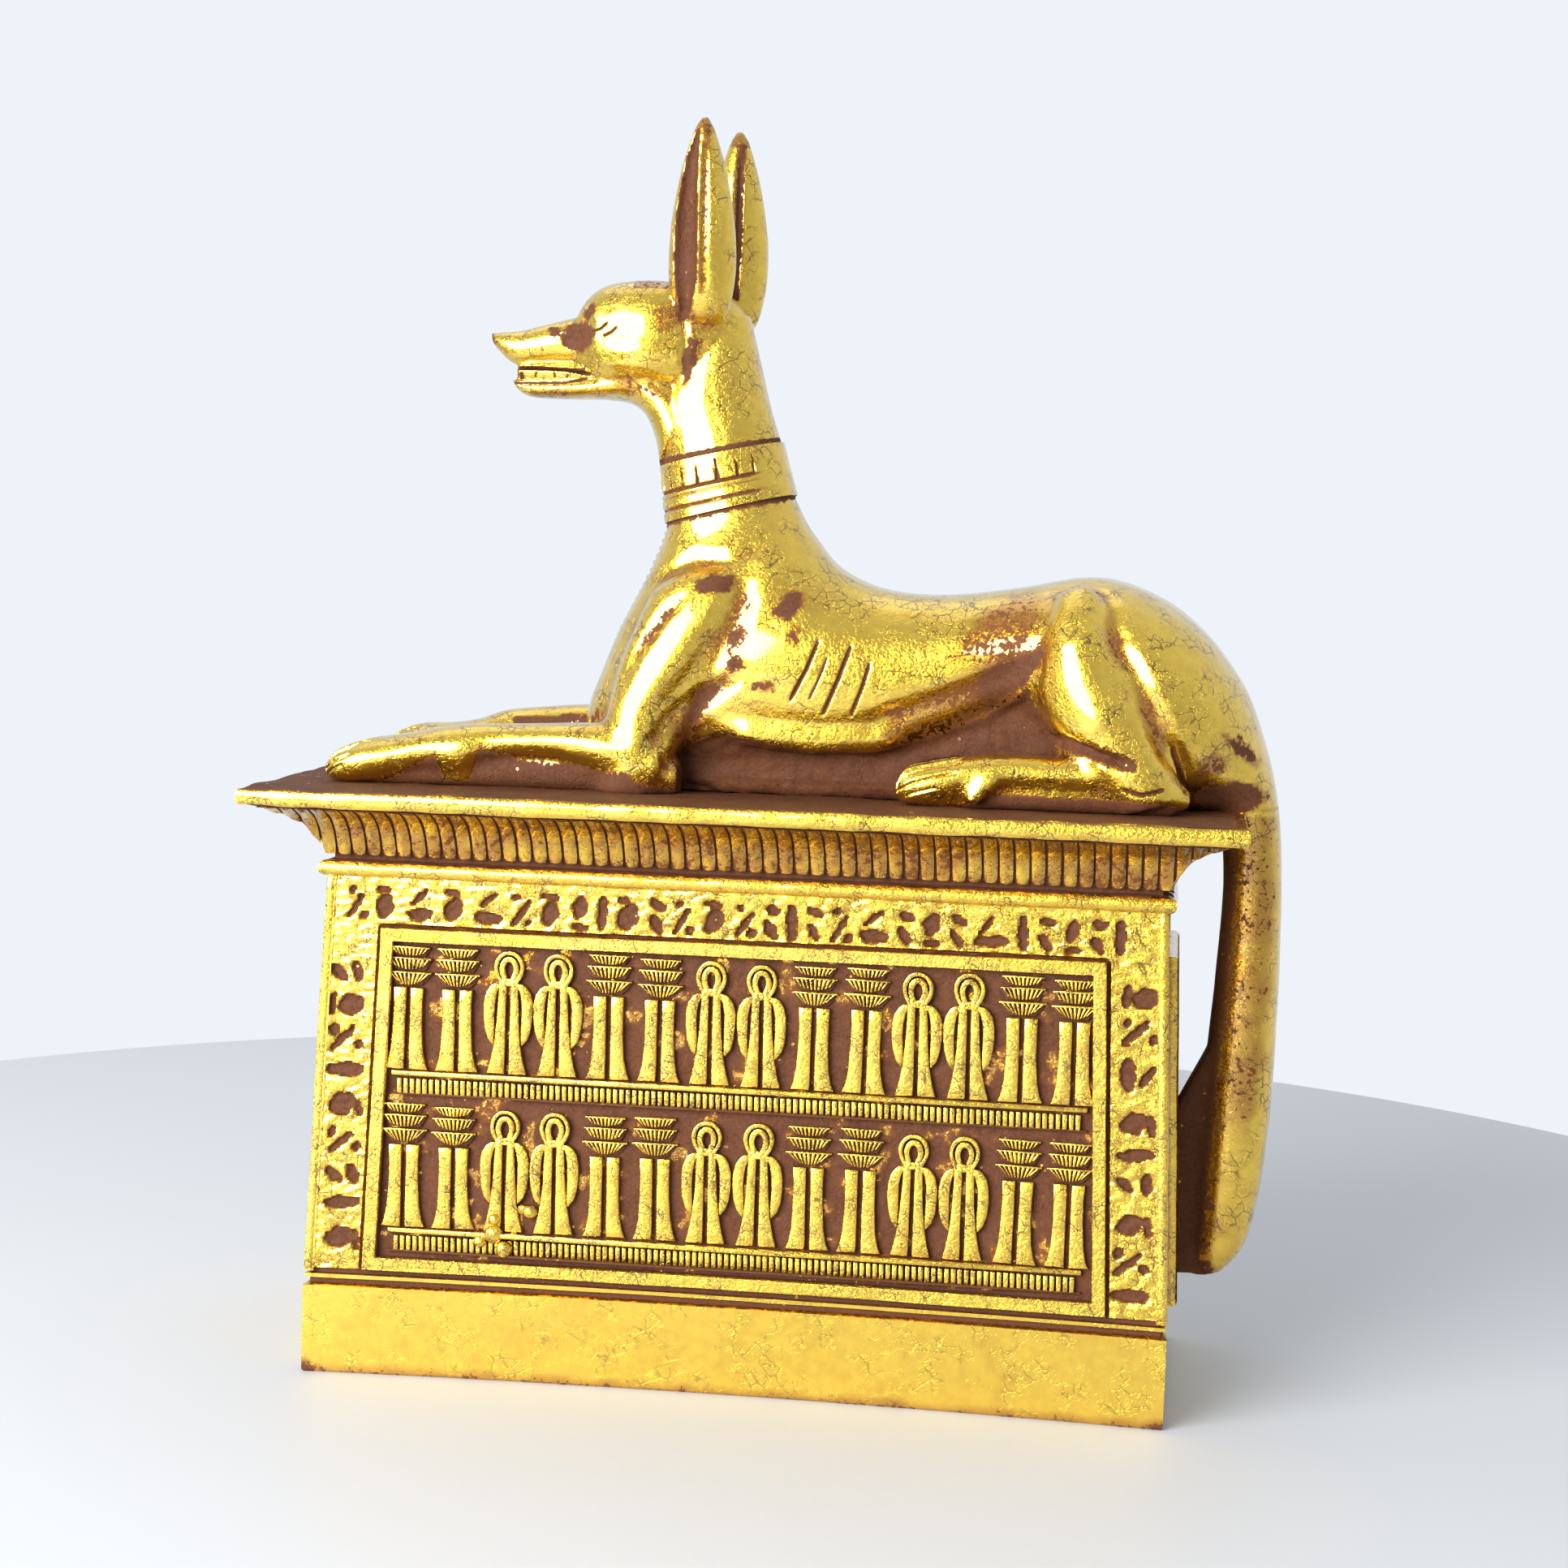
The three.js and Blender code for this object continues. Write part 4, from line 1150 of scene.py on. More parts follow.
        # Painted shade: below these heights the legs are bare brown bole, where shade falls under them.
        bare = read_off(x, FORELEG_BARE_AND_SHADED)
        leaf = np.where(on_fore, np.minimum(leaf, ramp(ragged - bare, -1.4, 1.2)), leaf)
        between = (x > -52) & (x < -19) & (aside < 11.5) & (z < 15) & (normals[:, 0] > -0.8)
        leaf = np.where(between, np.minimum(leaf, 0.2), leaf)
        heel = (x + 21.2) - (z - 2.7) * 0.54
        behind = self.at_elbow(over) & ~self.bare_web(over)
        leaf = np.where(behind, leaf - ramp(heel, 0.5, 3.5) * 0.2, leaf)
        on_hind = (x > 25) & (x < 82) & (aside > 13.5) & (z < 12)
        leaf = np.where(on_hind, np.minimum(leaf, ramp(z - read_off(x, HIND_BARE_AND_SHADED), -1, 1)), leaf)
        wedge = line_distance(side_view, WEDGE)[0]
        return leaf - ramp(-wedge, -1.7, -0.7) * (aside > 14) * 0.95

    def worn_and_shaded_leaf(self, leaf, over, normals):
        """The worn spots and the spots of painted shade on both sides."""
        torn = frayed(over[:, [0, 2]], over)
        for side, slip in ((-1, 0), (1, FAR_WEAR_SLIP)):
            here = (over[:, 1] * side > 0) & (np.abs(normals[:, 1]) > 0.1)
            leaf = rubbed_and_shaded(leaf, torn, BODY_WEAR_AND_SHADE, here, slip)
        return leaf

    def breast_leaf(self, leaf, over, normals):
        """The notched strip down the breast, and the dark line under the collar."""
        x, y, z = over.T
        aside = np.abs(y)
        front = (normals[:, 0] < -0.4) & (z > 12) & (z < 55) & (x < -14)
        leaf = np.where(front & (aside > 1.3) & (aside < 2.7), 0.15, leaf)
        leaf = np.where(front & (aside <= 1.3), 1 - 0.9 * self.notch_beat(z) ** 3, leaf)
        collar = line_distance(over[:, [0, 2]], COLLAR_LOWER_LINE)[0]
        return leaf - ramp(-collar, -0.65, -0.4)

    def tail_leaf(self, leaf, over, normals):
        """The tail, bare and thin towards the chest as painted shade, with a painted highlight along its
        outer rim, bare at its tip, and the dark line along the deck.
        """
        x, y, z = over.T
        outwards = x - read_off(z, TAIL_INNER)
        # Painted shade: bare and thin leaf towards the chest. Painted highlight: nearly whole leaf at the
        # outer rim.
        tail = read_off(outwards, TAIL_LEAF_WITH_PAINTED_LIGHT) + 0.26 * ramp(outwards, 3.6, 5.4) * ramp(-z, 48, 68)
        leaf = np.where(z < -1, np.minimum(leaf, tail), leaf)
        side_view = over[:, [0, 2]]
        leaf -= blot(frayed(side_view, over), (85, -88.5), (6, 3.6)) * 0.4
        leaf -= blot(side_view, (89, 0), (3, 6)) * 0.6
        leaf -= (z > 0) * (np.abs(y) < 40) * ramp(-z, -0.9, -0.3) * 0.35
        return leaf


class JACKAL_OT_head(Operator):
    """Models the head and the neck down to the collar, with the ears and the open lips"""

    bl_idname = "jackal.head"
    bl_label = "Head"

    def ears(self):
        """Each ear with its hollow, and how far it is set back or forward."""
        stagger = sizes("jackal_sizes").ear_stagger / MM / 2
        return [(side, side * stagger) for side in (-1, 1)]

    def execute(self, context):
        parts = [loft("neck", SPINE[NECK_CUT:]), loft("skull", SKULL, square=2.7), loft("muzzle", MUZZLE)]
        parts += [loft("jaw", JAW), loft("mouth", MOUTH), loft("throat", THROAT, square=2.1)]
        for side, shift in self.ears():
            ear = loft("ear", EAR, side=side, sides=28, steps=6, square=2, shift=shift)
            hollow = loft("hollow", EAR_HOLLOW, side=side, sides=20, steps=5, square=2, shift=shift)
            modified(ear, "BOOLEAN", operation="DIFFERENCE", object=hollow, solver="EXACT")
            bpy.data.objects.remove(hollow)
            parts.append(ear)
        head = relax(joined(parts, "jackal_head"), sizes("jackal_sizes").head_cell, 4)
        carve(head, HEAD_HOLLOWS)
        weather(head, 0.00008, 0.006, 2)
        refine(head, beside(HEAD_GROOVES + TEETH), 3)
        carve(head, HEAD_GROOVES + TEETH)
        self.fold_ears(head)
        paint(head, self.leaf(head))
        hand_in(head, gilding("metal_leaf_on_bole"))
        return {"FINISHED"}

    def fold_ears(self, head):
        """Presses a soft fold down each face of each ear."""
        over, normals = over_deck(head)
        push = np.zeros(len(over))
        for side, shift in self.ears():
            here = (over[:, 1] * side > 2) & (over[:, 2] > 90)
            away, along = line_distance(over[:, [0, 2]] - [shift, 0], EAR_FOLD)
            bell = np.clip(1 - (away / 1.1) ** 2, 0, 1) ** 2 * np.clip(np.minimum(along, 1 - along) * 8, 0, 1)
            inside = np.where(normals[:, 1] * side < 0, 0.7, 0.4)
            push += here * bell * inside * np.clip(np.abs(normals[:, 1]) * 2, 0, 1)
        press(head, push)

    def leaf(self, head):
        """The leaf that is left on the head and the neck: worn at the eye, the ears and the cheek, and
        thinned as painted shade under the cheek and on the crown's upward faces.
        """
        over, normals = over_deck(head)
        x, y, z = over.T
        side_view = over[:, [0, 2]]
        torn = frayed(side_view, over, 1.8, 0.8)
        leaf = 1 - np.clip(hollowness(head) * 2.4, 0, 0.4)
        leaf -= inked(side_view, HEAD_GROOVES) * (np.abs(y) > 1.5)
        leaf -= inked(side_view, TEETH) * (np.abs(y) > 1.5) * 0.5
        mouth = (z < 79.15) & (z > 78.5) & (x > -50) & (x < -36)
        leaf = np.where(mouth, 0.15, leaf)
        leaf = rubbed_and_shaded(leaf, torn, HEAD_WEAR_AND_SHADE)
        for side, shift in self.ears():
            aside = y * side
            hollow = within(over, EAR_HOLLOW, side, shift)
            leaf = np.where(hollow < 1.12, 0.2, leaf)
            leaf = rubbed_and_shaded(leaf, torn, EAR_ROOT_WEAR, (aside > 3) & (z > 86), shift)
            fold = line_distance(side_view - [shift, 0], EAR_FOLD)[0]
            facing = np.where(normals[:, 1] * side < 0, 0.7, 0.42)
            leaf -= (aside > 2) * (z > 93) * ramp(-fold, -1.3, -0.4) * facing * (hollow > 1.12)
            leaf -= (aside > 2) * (z > 122.5) * 0.4
        collar = line_distance(side_view, COLLAR_UPPER_LINE)[0]
        leaf -= ramp(-collar, -0.65, -0.4)
        # Painted shade: the crown's upward faces keep thinner, deeper gold.
        crown_shade = (z > 94) & (normals[:, 2] > 0.6) & (x < -16) & (x > -27)
        return np.where(crown_shade, leaf - 0.4, leaf)


class JACKAL_OT_collar(Operator):
    """Models the collar, with its notches and lines"""

    bl_idname = "jackal.collar"
    bl_label = "Collar"

    def execute(self, context):
        proud = sizes("jackal_sizes").collar / MM
        rows = SPINE[COLLAR_FOOT : COLLAR_TOP + 1]
        collar = loft("collar", rows, sides=COLLAR_CORNERS, steps=30, grow=proud)
        over, _ = over_deck(collar)
        ring, corner = np.divmod(np.arange(len(over)), COLLAR_CORNERS)
        share = ring / ring.max()
        across = np.zeros(len(over))
        for k in range(ring.max() + 1):
            x = over[ring == k, 0]
            across[ring == k] = (x - x.min()) / max(x.max() - x.min(), 1e-6)
        shown = 1 - ramp(across, 0.72, 0.88)
        depth = np.zeros(len(over))
        for middle, half, deep, fades in COLLAR_LINES:
            line = deep * np.clip(1 - ((share - middle) / half) ** 2, 0, 1)
            depth = np.maximum(depth, line * (shown if fades else 1))
        beat = np.abs(corner / COLLAR_CORNERS * COLLAR_NOTCHES % 1 - 0.5)
        half = 0.13 * np.clip((0.86 - share) / 0.33, 0.05, 1)
        notch = np.clip(1.4 - 1.4 * beat / half, 0, 1) * (share > 0.51) * (share < 0.84)
        depth = np.maximum(depth, 0.8 * notch * shown)
        press(collar, depth * 0.6)
        paint(collar, 1 - 0.95 * np.clip(depth * 1.5, 0, 1))
        hand_in(collar, gilding("metal_leaf_on_bole"))
        return {"FINISHED"}


def outline_block(name, rings, cells):
    """A block of stacked level outlines, from the foot up: half length, half depth and height."""
    across, deep = cells
    half_x, half_y, height = rings[0]
    grid = {"x_subdivisions": across, "y_subdivisions": deep, "size": 2.0}
    obj = start(bpy.ops.mesh.primitive_grid_add, name, **grid)
    bpy.ops.mesh.dissolve_faces()
    bpy.ops.transform.resize(value=(half_x, half_y, 1), center_override=(0, 0, 0))
    bpy.ops.transform.translate(value=(0, 0, height))
    for new_x, new_y, new_height in rings[1:]:
        bpy.ops.mesh.extrude_region_move()
        bpy.ops.transform.resize(value=(new_x / half_x, new_y / half_y, 1), center_override=(0, 0, height))
        bpy.ops.transform.translate(value=(0, 0, new_height - height))
        half_x, half_y, height = new_x, new_y, new_height
    close_outwards()
    return obj


def grown(half, by, height):
    """One level outline: half sizes moved out by a distance, and its height."""
    return (half.x + by, half.y + by, height)


class JACKAL_OT_chest(Operator):
    """Models the plain foot with its two lines, the walls' core, the rail and the recess"""

    bl_idname = "jackal.chest"
    bl_label = "Chest"

    def execute(self, context):
        self.foot_and_core()
        self.rail()
        return {"FINISHED"}

    def foot_and_core(self):
        """The plain foot, two lines cut over it, and the core behind the walls' fields."""
        c, p, at, half = sizes("chest_sizes"), sizes("panel_sizes"), levels(), half_sizes()
        foot, top = half["foot"], half["top"]
        edge = 0.4 * MM
        rows = [grown(foot, -edge, 0), grown(foot, 0, edge)]
        rows += [grown(foot, 0, edge + (c.foot - 2 * edge) * k / 8) for k in range(1, 9)]
        rows += [grown(foot, out * MM, c.foot + up * MM) for out, up in FOOT_STEPS]
        rows += [grown(foot, -1.4 * MM, c.foot + p.foot), grown(top, -p.ground - 0.2 * MM, at["wall"])]
        base = outline_block("chest_foot", rows, (108, 43))
        weather(base, 0.00012, 0.012, 3)
        x, y, z = np.abs(array_of(base)[0]).T
        lines = ((z > c.foot) & (z < c.foot + 1 * MM)) | (z > c.foot + 1.9 * MM)
        corner = ramp(x, foot.x - 4 * MM, foot.x) * ramp(-z, -4 * MM, 0) * ramp(y, foot.y - 6 * MM, foot.y)
        leaf = np.minimum(np.where(lines, 0.1, 1.0), 1 - 0.75 * corner)
        paint(base, np.where(z < 0.5 * MM, leaf - 0.35, leaf))
        drawn_in(base)
        hand_in(base, gilding("metal_leaf_on_bole_smooth", wrinkle_depth=0.3, crack_depth=0.5))

    def rail(self):
        """The rounded rail over the walls and the bare recess over it."""
        c, at, top = sizes("chest_sizes"), levels(), half_sizes()["top"]
        foot, rise = at["wall"] - 0.3 * MM, c.rail + 0.2 * MM
        rows = []
        for k in range(9):
            angle = math.pi * (k / 8 - 0.5)
            out = c.rail_proud * math.cos(angle) ** 0.7
            rows.append(grown(top, out - 0.6 * MM, foot + rise * (0.5 + 0.5 * math.sin(angle))))
        rows.append(grown(top, -c.recess, at["rail"] + 0.05 * MM))
        rows.append(grown(top, -c.recess, at["hollow"] + 0.4 * MM))
        rail = outline_block("chest_rail", rows, (150, 56))
        weather(rail, 0.0002, 0.005, 4)
        places, _ = array_of(rail)
        paint(rail, np.where(places[:, 2] > at["rail"] - 0.25 * MM, 0.1, 1.0))
        hand_in(rail, gilding("metal_leaf_on_bole_cast", ragged_depth=0.6, wrinkle_depth=1.5))


def drawn_in(obj):
    """Bends the long walls inward a little between the corners, as the cast ones are."""
    half = half_sizes()["foot"]
    places, _ = array_of(obj)
    x, y, z = places.T
    bow = np.clip(1 - (x / half.x) ** 2, 0, 1) * np.clip(1 - z / levels()["wall"], 0, 1)
    places[:, 1] -= y / half.y * bow * DRAWN_IN
    place_all(obj, places)


def cavetto(share):
    """Reach and rise of the hollow moulding at a share of its slanting length."""
    c = sizes("chest_sizes")
    sag = 0.165 * math.sin(math.pi * share)
    return c.reach * (share - sag), c.hollow * (share + sag)


class JACKAL_OT_cornice(Operator):
    """Models the hollow moulding with its upright leaves"""

    bl_idname = "jackal.cornice"
    bl_label = "Cornice"

    def leaf(self, half_width):
        """One leaf in front of the middle of a wall, slightly domed, with a rounded foot."""
        obj = start(bpy.ops.mesh.primitive_grid_add, "leaf", x_subdivisions=4, y_subdivisions=9, size=2.0)
        bpy.ops.mesh.extrude_region_move(TRANSFORM_OT_translate={"value": (0, 0, 1)})
        close_outwards()
        for vertex in obj.data.vertices:
            across, share, front = vertex.co.x, (vertex.co.y + 1) / 2, vertex.co.z > 0.5
            reach, rise = cavetto(LEAF_LENGTH * share)
            ends = min(1, 6 * share + 0.7, 5 * (1 - share) + 0.3)
            out = (0.35 * (1 - across**2) + 0.2) * MM * ends if front else -0.5 * MM
            narrow = half_width * min(1, 0.85 + 3 * share)
            vertex.co = Vector((across * narrow, reach + out * 0.8, rise - out * 0.6))
        return obj

    def leaves(self, wall, along, out):
        """The row of leaves along one wall, cut off at the corners' mitres."""
        c, foot = sizes("chest_sizes"), levels()["hollow"]
        count = 2 * round((along + c.reach) / c.pitch) + 1
        pitch = 2 * (along + c.reach) / count
        model = self.leaf(0.42 * pitch)
        turn = Matrix.Rotation(wall * math.pi / 2, 4, "Z")
        row = []
        for k in range(count):
            x = (k - (count - 1) / 2) * pitch
            copy = copied(model, turn @ Matrix.Translation((x, -out, foot)) @ Matrix.Diagonal((1, -1, 1, 1)))
            copy.data.flip_normals()
            if abs(x) + pitch / 2 <= along or self.mitre(copy, wall, along, out, x):
                row.append(copy)
        bpy.data.objects.remove(model)
        return row

    def execute(self, context):
        c, foot, top = sizes("chest_sizes"), levels()["hollow"], half_sizes()["top"]
        behind = 0.45 * MM
        rows = []
        for k in range(11):
            reach, rise = cavetto(k / 10)
            rows.append(grown(top, reach - behind, foot + rise))
        pieces = [outline_block("cornice_hollow", rows, (60, 24))]
        for wall in range(4):
            along, out = (top.x, top.y) if wall % 2 == 0 else (top.y, top.x)
            pieces += self.leaves(wall, along, out)
        moulding = joined(pieces, "cornice")
        weather(moulding, 0.00012, 0.004, 5)
        places, _ = array_of(moulding)
        up = places[:, 2] - foot
        outwards = np.maximum(np.abs(places[:, 0]) - top.x, np.abs(places[:, 1]) - top.y)
        profile = np.array([cavetto(share) for share in np.linspace(0, 1, 21)])
        lift = (outwards - np.interp(up, profile[:, 1], profile[:, 0])) / MM
        # The leaves keep thin leaf in patches, so their gold is a deep orange: partly a brown glaze, and
        # partly painted shade for the dark floor that the moulding reflects.
        patches = 0.7 + 0.3 * uneven(places, 6 * MM) + 0.25 * uneven(places, 1.3 * MM)
        leaf = ramp(lift, -0.1, 0.25) * patches
        # Painted shade: the top of the moulding, under the slab's lip, keeps little leaf.
        paint(moulding, np.where(up / c.hollow > 0.93, np.minimum(leaf, 0.35), leaf))
        look = gilding("metal_leaf_on_bole_glazed_and_shaded", ragged_depth=0.8, wrinkle_depth=1.8, crack_depth=0.3)
        hand_in(moulding, look, angle=50)
        return {"FINISHED"}

    def mitre(self, copy, wall, along, out, x):
        """Cuts a leaf off at the corner's mitre, and says if anything is left of it."""
        turn = Matrix.Rotation(wall * math.pi / 2, 3, "Z")
        corner = turn @ Vector((math.copysign(along, x), -out, 0))
        facing = turn @ Vector((math.copysign(1, x), 1, 0)).normalized()
        choose_all(copy)
        bpy.ops.mesh.bisect(plane_co=corner, plane_no=facing, use_fill=True, clear_outer=True)
        close_edit()
        if len(copy.data.polygons) < 6:
            bpy.data.objects.remove(copy)
            return False
        return True


class JACKAL_OT_slab(Operator):
    """Models the slab with the bare, rubbed top that the jackal lies on"""

    bl_idname = "jackal.slab"
    bl_label = "Slab"

    def execute(self, context):
        c, at, slab = sizes("chest_sizes"), levels(), half_sizes()["slab"]
        round_edge, deck_height = 0.45 * MM, at["deck"] - 0.15 * MM
        rows = [
            grown(slab, -c.lip * 1.6, at["slab"] - 0.1 * MM),
            grown(slab, -c.lip / 3, at["slab"]),
            grown(slab, -0.1 * MM, at["slab"] + 0.4 * MM),
            grown(slab, 0, at["slab"] + 1.0 * MM),
            grown(slab, 0, at["slab"] + 1.8 * MM),
            grown(slab, -0.1 * MM, at["deck"] - 0.6 * MM),
            grown(slab, -round_edge, deck_height),
        ]
        cells = (150, 70)
        edge = outline_block("slab_edge", rows, cells)
        top_face = max(edge.data.polygons, key=lambda face: face.center.z)
        choose(edge, "FACE", [face.index == top_face.index for face in edge.data.polygons])
        bpy.ops.mesh.delete(type="FACE")
        close_edit()
        grid = {"x_subdivisions": cells[0], "y_subdivisions": cells[1], "size": 2.0}
        deck = start(bpy.ops.mesh.primitive_grid_add, "deck", **grid)
        half = (slab.x - round_edge, slab.y - round_edge, 1)
        bpy.ops.transform.resize(value=half, center_override=(0, 0, 0))
        bpy.ops.transform.translate(value=(0, 0, deck_height))
        close_edit()
        whole = joined([edge, deck], "slab")
        choose_all(whole)
        bpy.ops.mesh.remove_doubles(threshold=0.05 * MM)
        close_outwards()
        weather(whole, 0.0003, 0.007, 6)
        places, normals = array_of(whole)
        x, y, _ = places.T
        inside = np.minimum(slab.x - np.abs(x), slab.y - np.abs(y)) / MM
        margin = ramp(-inside, -3, -1.4) * ramp(x / MM, -80, -50)
        corner = ramp(x, slab.x - 12 * MM, slab.x)
        top = 0.26 + 0.38 * margin + 0.12 * corner
        paint(whole, np.where(normals[:, 2] > 0.7, top, 0.95))
        hand_in(whole, gilding("metal_leaf_on_bole_cast"))
        return {"FINISHED"}


class Wall:
    """One wall of the chest: places on it are along it, up its slope and out of it."""

    def __init__(self, turn, plain=False, figures=0, proud=0.0, keep_clear=0.0):
        c, half = sizes("chest_sizes"), half_sizes()
        long = round(math.degrees(turn)) % 180 == 0
        self.half = half["foot"].x if long else half["foot"].y
        self.distance = half["foot"].y if long else half["foot"].x
        self.slope = math.hypot(c.lean, c.walls)
        self.lean = c.lean
        self.plain, self.figures, self.proud, self.keep_clear = plain, figures, proud, keep_clear
        tilt = Matrix.Rotation(math.pi / 2 - math.atan2(c.lean, c.walls), 4, "X")
        out = Matrix.Translation((0, -self.distance, c.foot))
        self.matrix = Matrix.Rotation(turn, 4, "Z") @ out @ tilt
        self.name = {0: "front", 90: "right", 180: "back", 270: "left"}[round(math.degrees(turn)) % 360]

    def edge(self, up):
        """Half the wall's width at a height up its slope."""
        return self.half - self.lean * up / self.slope

    def shape(self, low, high, inset):
        """Corners of the shape between two heights that stays this far inside the wall's sides."""
        foot, top = self.edge(low) - inset, self.edge(high) - inset
        return [(-foot, low), (foot, low), (top, high), (-top, high)]


def level(obj, edge, axis, value):
    """Whether both ends of an edge lie at this value of an axis."""
    return all(abs(obj.data.vertices[end].co[axis] - value) < 1e-7 for end in edge.vertices)


def strip(name, rows, depth, bevel):
    """A raised flat shape up the wall: rows give its middle, half width and height."""
    obj = start(bpy.ops.mesh.primitive_plane_add, name, size=2.0)
    middle, half, height = rows[0]
    bpy.ops.transform.resize(value=(half, 1, 1), center_override=(0, 0, 0))
    bpy.ops.transform.translate(value=(middle, height + 1, 0))
    close_edit()
    for vertex in obj.data.vertices:
        if vertex.co.y > height + 1:
            vertex.co.y = rows[1][2]
            vertex.co.x = rows[1][0] + (vertex.co.x - middle) * rows[1][1] / half
    middle, half, height = rows[1]
    choose(obj, "EDGE", [level(obj, edge, 1, height) for edge in obj.data.edges])
    for new_middle, new_half, new_height in rows[2:]:
        bpy.ops.mesh.extrude_edges_move()
        bpy.ops.transform.resize(value=(new_half / half, 1, 1), center_override=(middle, height, 0))
        bpy.ops.transform.translate(value=(new_middle - middle, new_height - height, 0))
        middle, half, height = new_middle, new_half, new_height
    return raised(obj, depth, bevel)


def raised(obj, depth, bevel, segments=2):
    """Gives the flat faces that are open in edit mode their thickness and a rounded upper rim."""
    bpy.ops.mesh.select_all(action="SELECT")
    bpy.ops.mesh.extrude_region_move(TRANSFORM_OT_translate={"value": (0, 0, depth)})
    close_outwards()
    sides = {}
    for face in obj.data.polygons:
        for key in face.edge_keys:
            sides.setdefault(key, []).append(face.normal.z)
    rim = [level(obj, edge, 2, depth) and min(sides[edge.key]) < 0.5 for edge in obj.data.edges]
    choose(obj, "EDGE", rim)
    bpy.ops.mesh.bevel(offset=bevel, segments=segments, affect="EDGES")
    close_edit()
    return obj


def parted(widths, side, gap, h):
    """One half of a form that is parted down its middle, as rows for a strip."""
    return [(side * (gap + width * h) / 2, (width * h - gap) / 2, up * h) for width, up in widths]


def fluted_cup(cup, h, depth, flutes):
    """One cup of a pillar: its sunk bowl, its flutes and its rim."""
    foot, top, narrow, wide = cup
    rise, flare = top - foot, wide - narrow
    shares = (0, 0.35, 0.7, 1)
    bowl = [(0, (narrow + flare * share**0.75) * h, (foot + rise * share) * h) for share in shares]
    parts = [strip("bowl", bowl, depth * 0.45, 0.15 * MM)]
    for k in range(flutes):
        out = (k + 0.5) * 2 / flutes - 1
        lift = 0.35 * rise * out * out
        rows = []
        for share in (0.06, 0.5, 0.96):
            reach = narrow + flare * share
            up = foot + lift * (1 - share) + rise * share
            rows.append((out * reach * 0.97 * h, reach * 0.56 / flutes * h, up * h))
        parts.append(strip("flute", rows, depth * 0.95, 0.12 * MM))
    rim = [(0, wide * 0.99 * h, (top + up) * h) for up in (-0.008, 0.006)]
    return [*parts, strip("rim", rim, depth * 0.95, 0.1 * MM)]


def pillar(h, depth, plain):
    """A bound pillar with three fluted cups, from its feet up."""
    parts = [strip("shaft", parted(SHAFT, side, 0.018 * h, h), depth, 0.24 * MM) for side in (-1, 1)]
    for cup in CUPS:
        parts += fluted_cup(cup, h, depth, 5 if plain else 9)
    return joined(parts, "pillar")


def band_ring(name, outline, inner, depth, bevel):
    """A raised flat ring between an outline and its copy moved in."""
    circle = {"vertices": len(outline), "radius": 1.0, "fill_type": "NGON"}
    obj = start(bpy.ops.mesh.primitive_circle_add, name, **circle)
    close_edit()
    for vertex, (x, y) in zip(obj.data.vertices, outline):
        vertex.co = (x, y, 0)
    choose(obj, "FACE", [True])
    bpy.ops.mesh.inset(thickness=inner)
    bpy.ops.mesh.delete(type="FACE")
    return raised(obj, depth, bevel)


def drop(half, top, foot, neck, count):
    """A drop with its round end up: half width, top, foot and half width at the foot."""
    points = []
    for k in range(count):
        turn = 2 * math.pi * k / count
        down = (1 - math.cos(turn)) / 2
        wide = half * abs(math.sin(turn)) ** 0.9
        wide = max(wide, neck) if down > 0.6 else wide
        wide *= 1 - 0.25 * max(0.0, down - 0.45)
        across = math.copysign(wide, -math.sin(turn)) if k else 0.0
        points.append((across, top - (top - foot) * down))
    return points


def knot(h, depth, plain):
    """A knotted band with a loop, two hanging arms and a parted skirt, from its feet up."""
    parts = []
    for side in (-1, 1):
        parts.append(strip("skirt", parted(SKIRT, side, 0.016 * h, h), depth, 0.22 * MM))
        rows = [(side * middle * h, half * h, up * h) for middle, half, up in ARM]
        parts.append(strip("arm", rows, depth * 0.95, 0.28 * MM))
    for half, top, foot, neck, inner in LOOPS:
        outline = drop(half * h, top * h, foot * h, neck * h, 16 if plain else 32)
        parts.append(band_ring("loop", outline, inner * h, depth, 0.2 * MM))
    return joined(parts, "knot")


def placed_copy(model, along, up, turn=0.0, scale=1.0):
    """A copy of a model that lies on the wall, moved along it and up it."""
    place = Matrix.Translation((along, up, 0))
    return copied(model, place @ Matrix.Rotation(turn, 4, "Z") @ Matrix.Scale(scale, 4))


def registers(wall):
    """Foot and top of the panel's ground, and each tiled band's foot with its register's height."""
    p = sizes("panel_sizes")
    low = p.foot + p.frame
    high = wall.slope - p.frieze - p.frame
    height = (high - low - 2 * p.band) / 2
    return low, high, height, [low + k * (height + p.band) for k in (0, 1)]


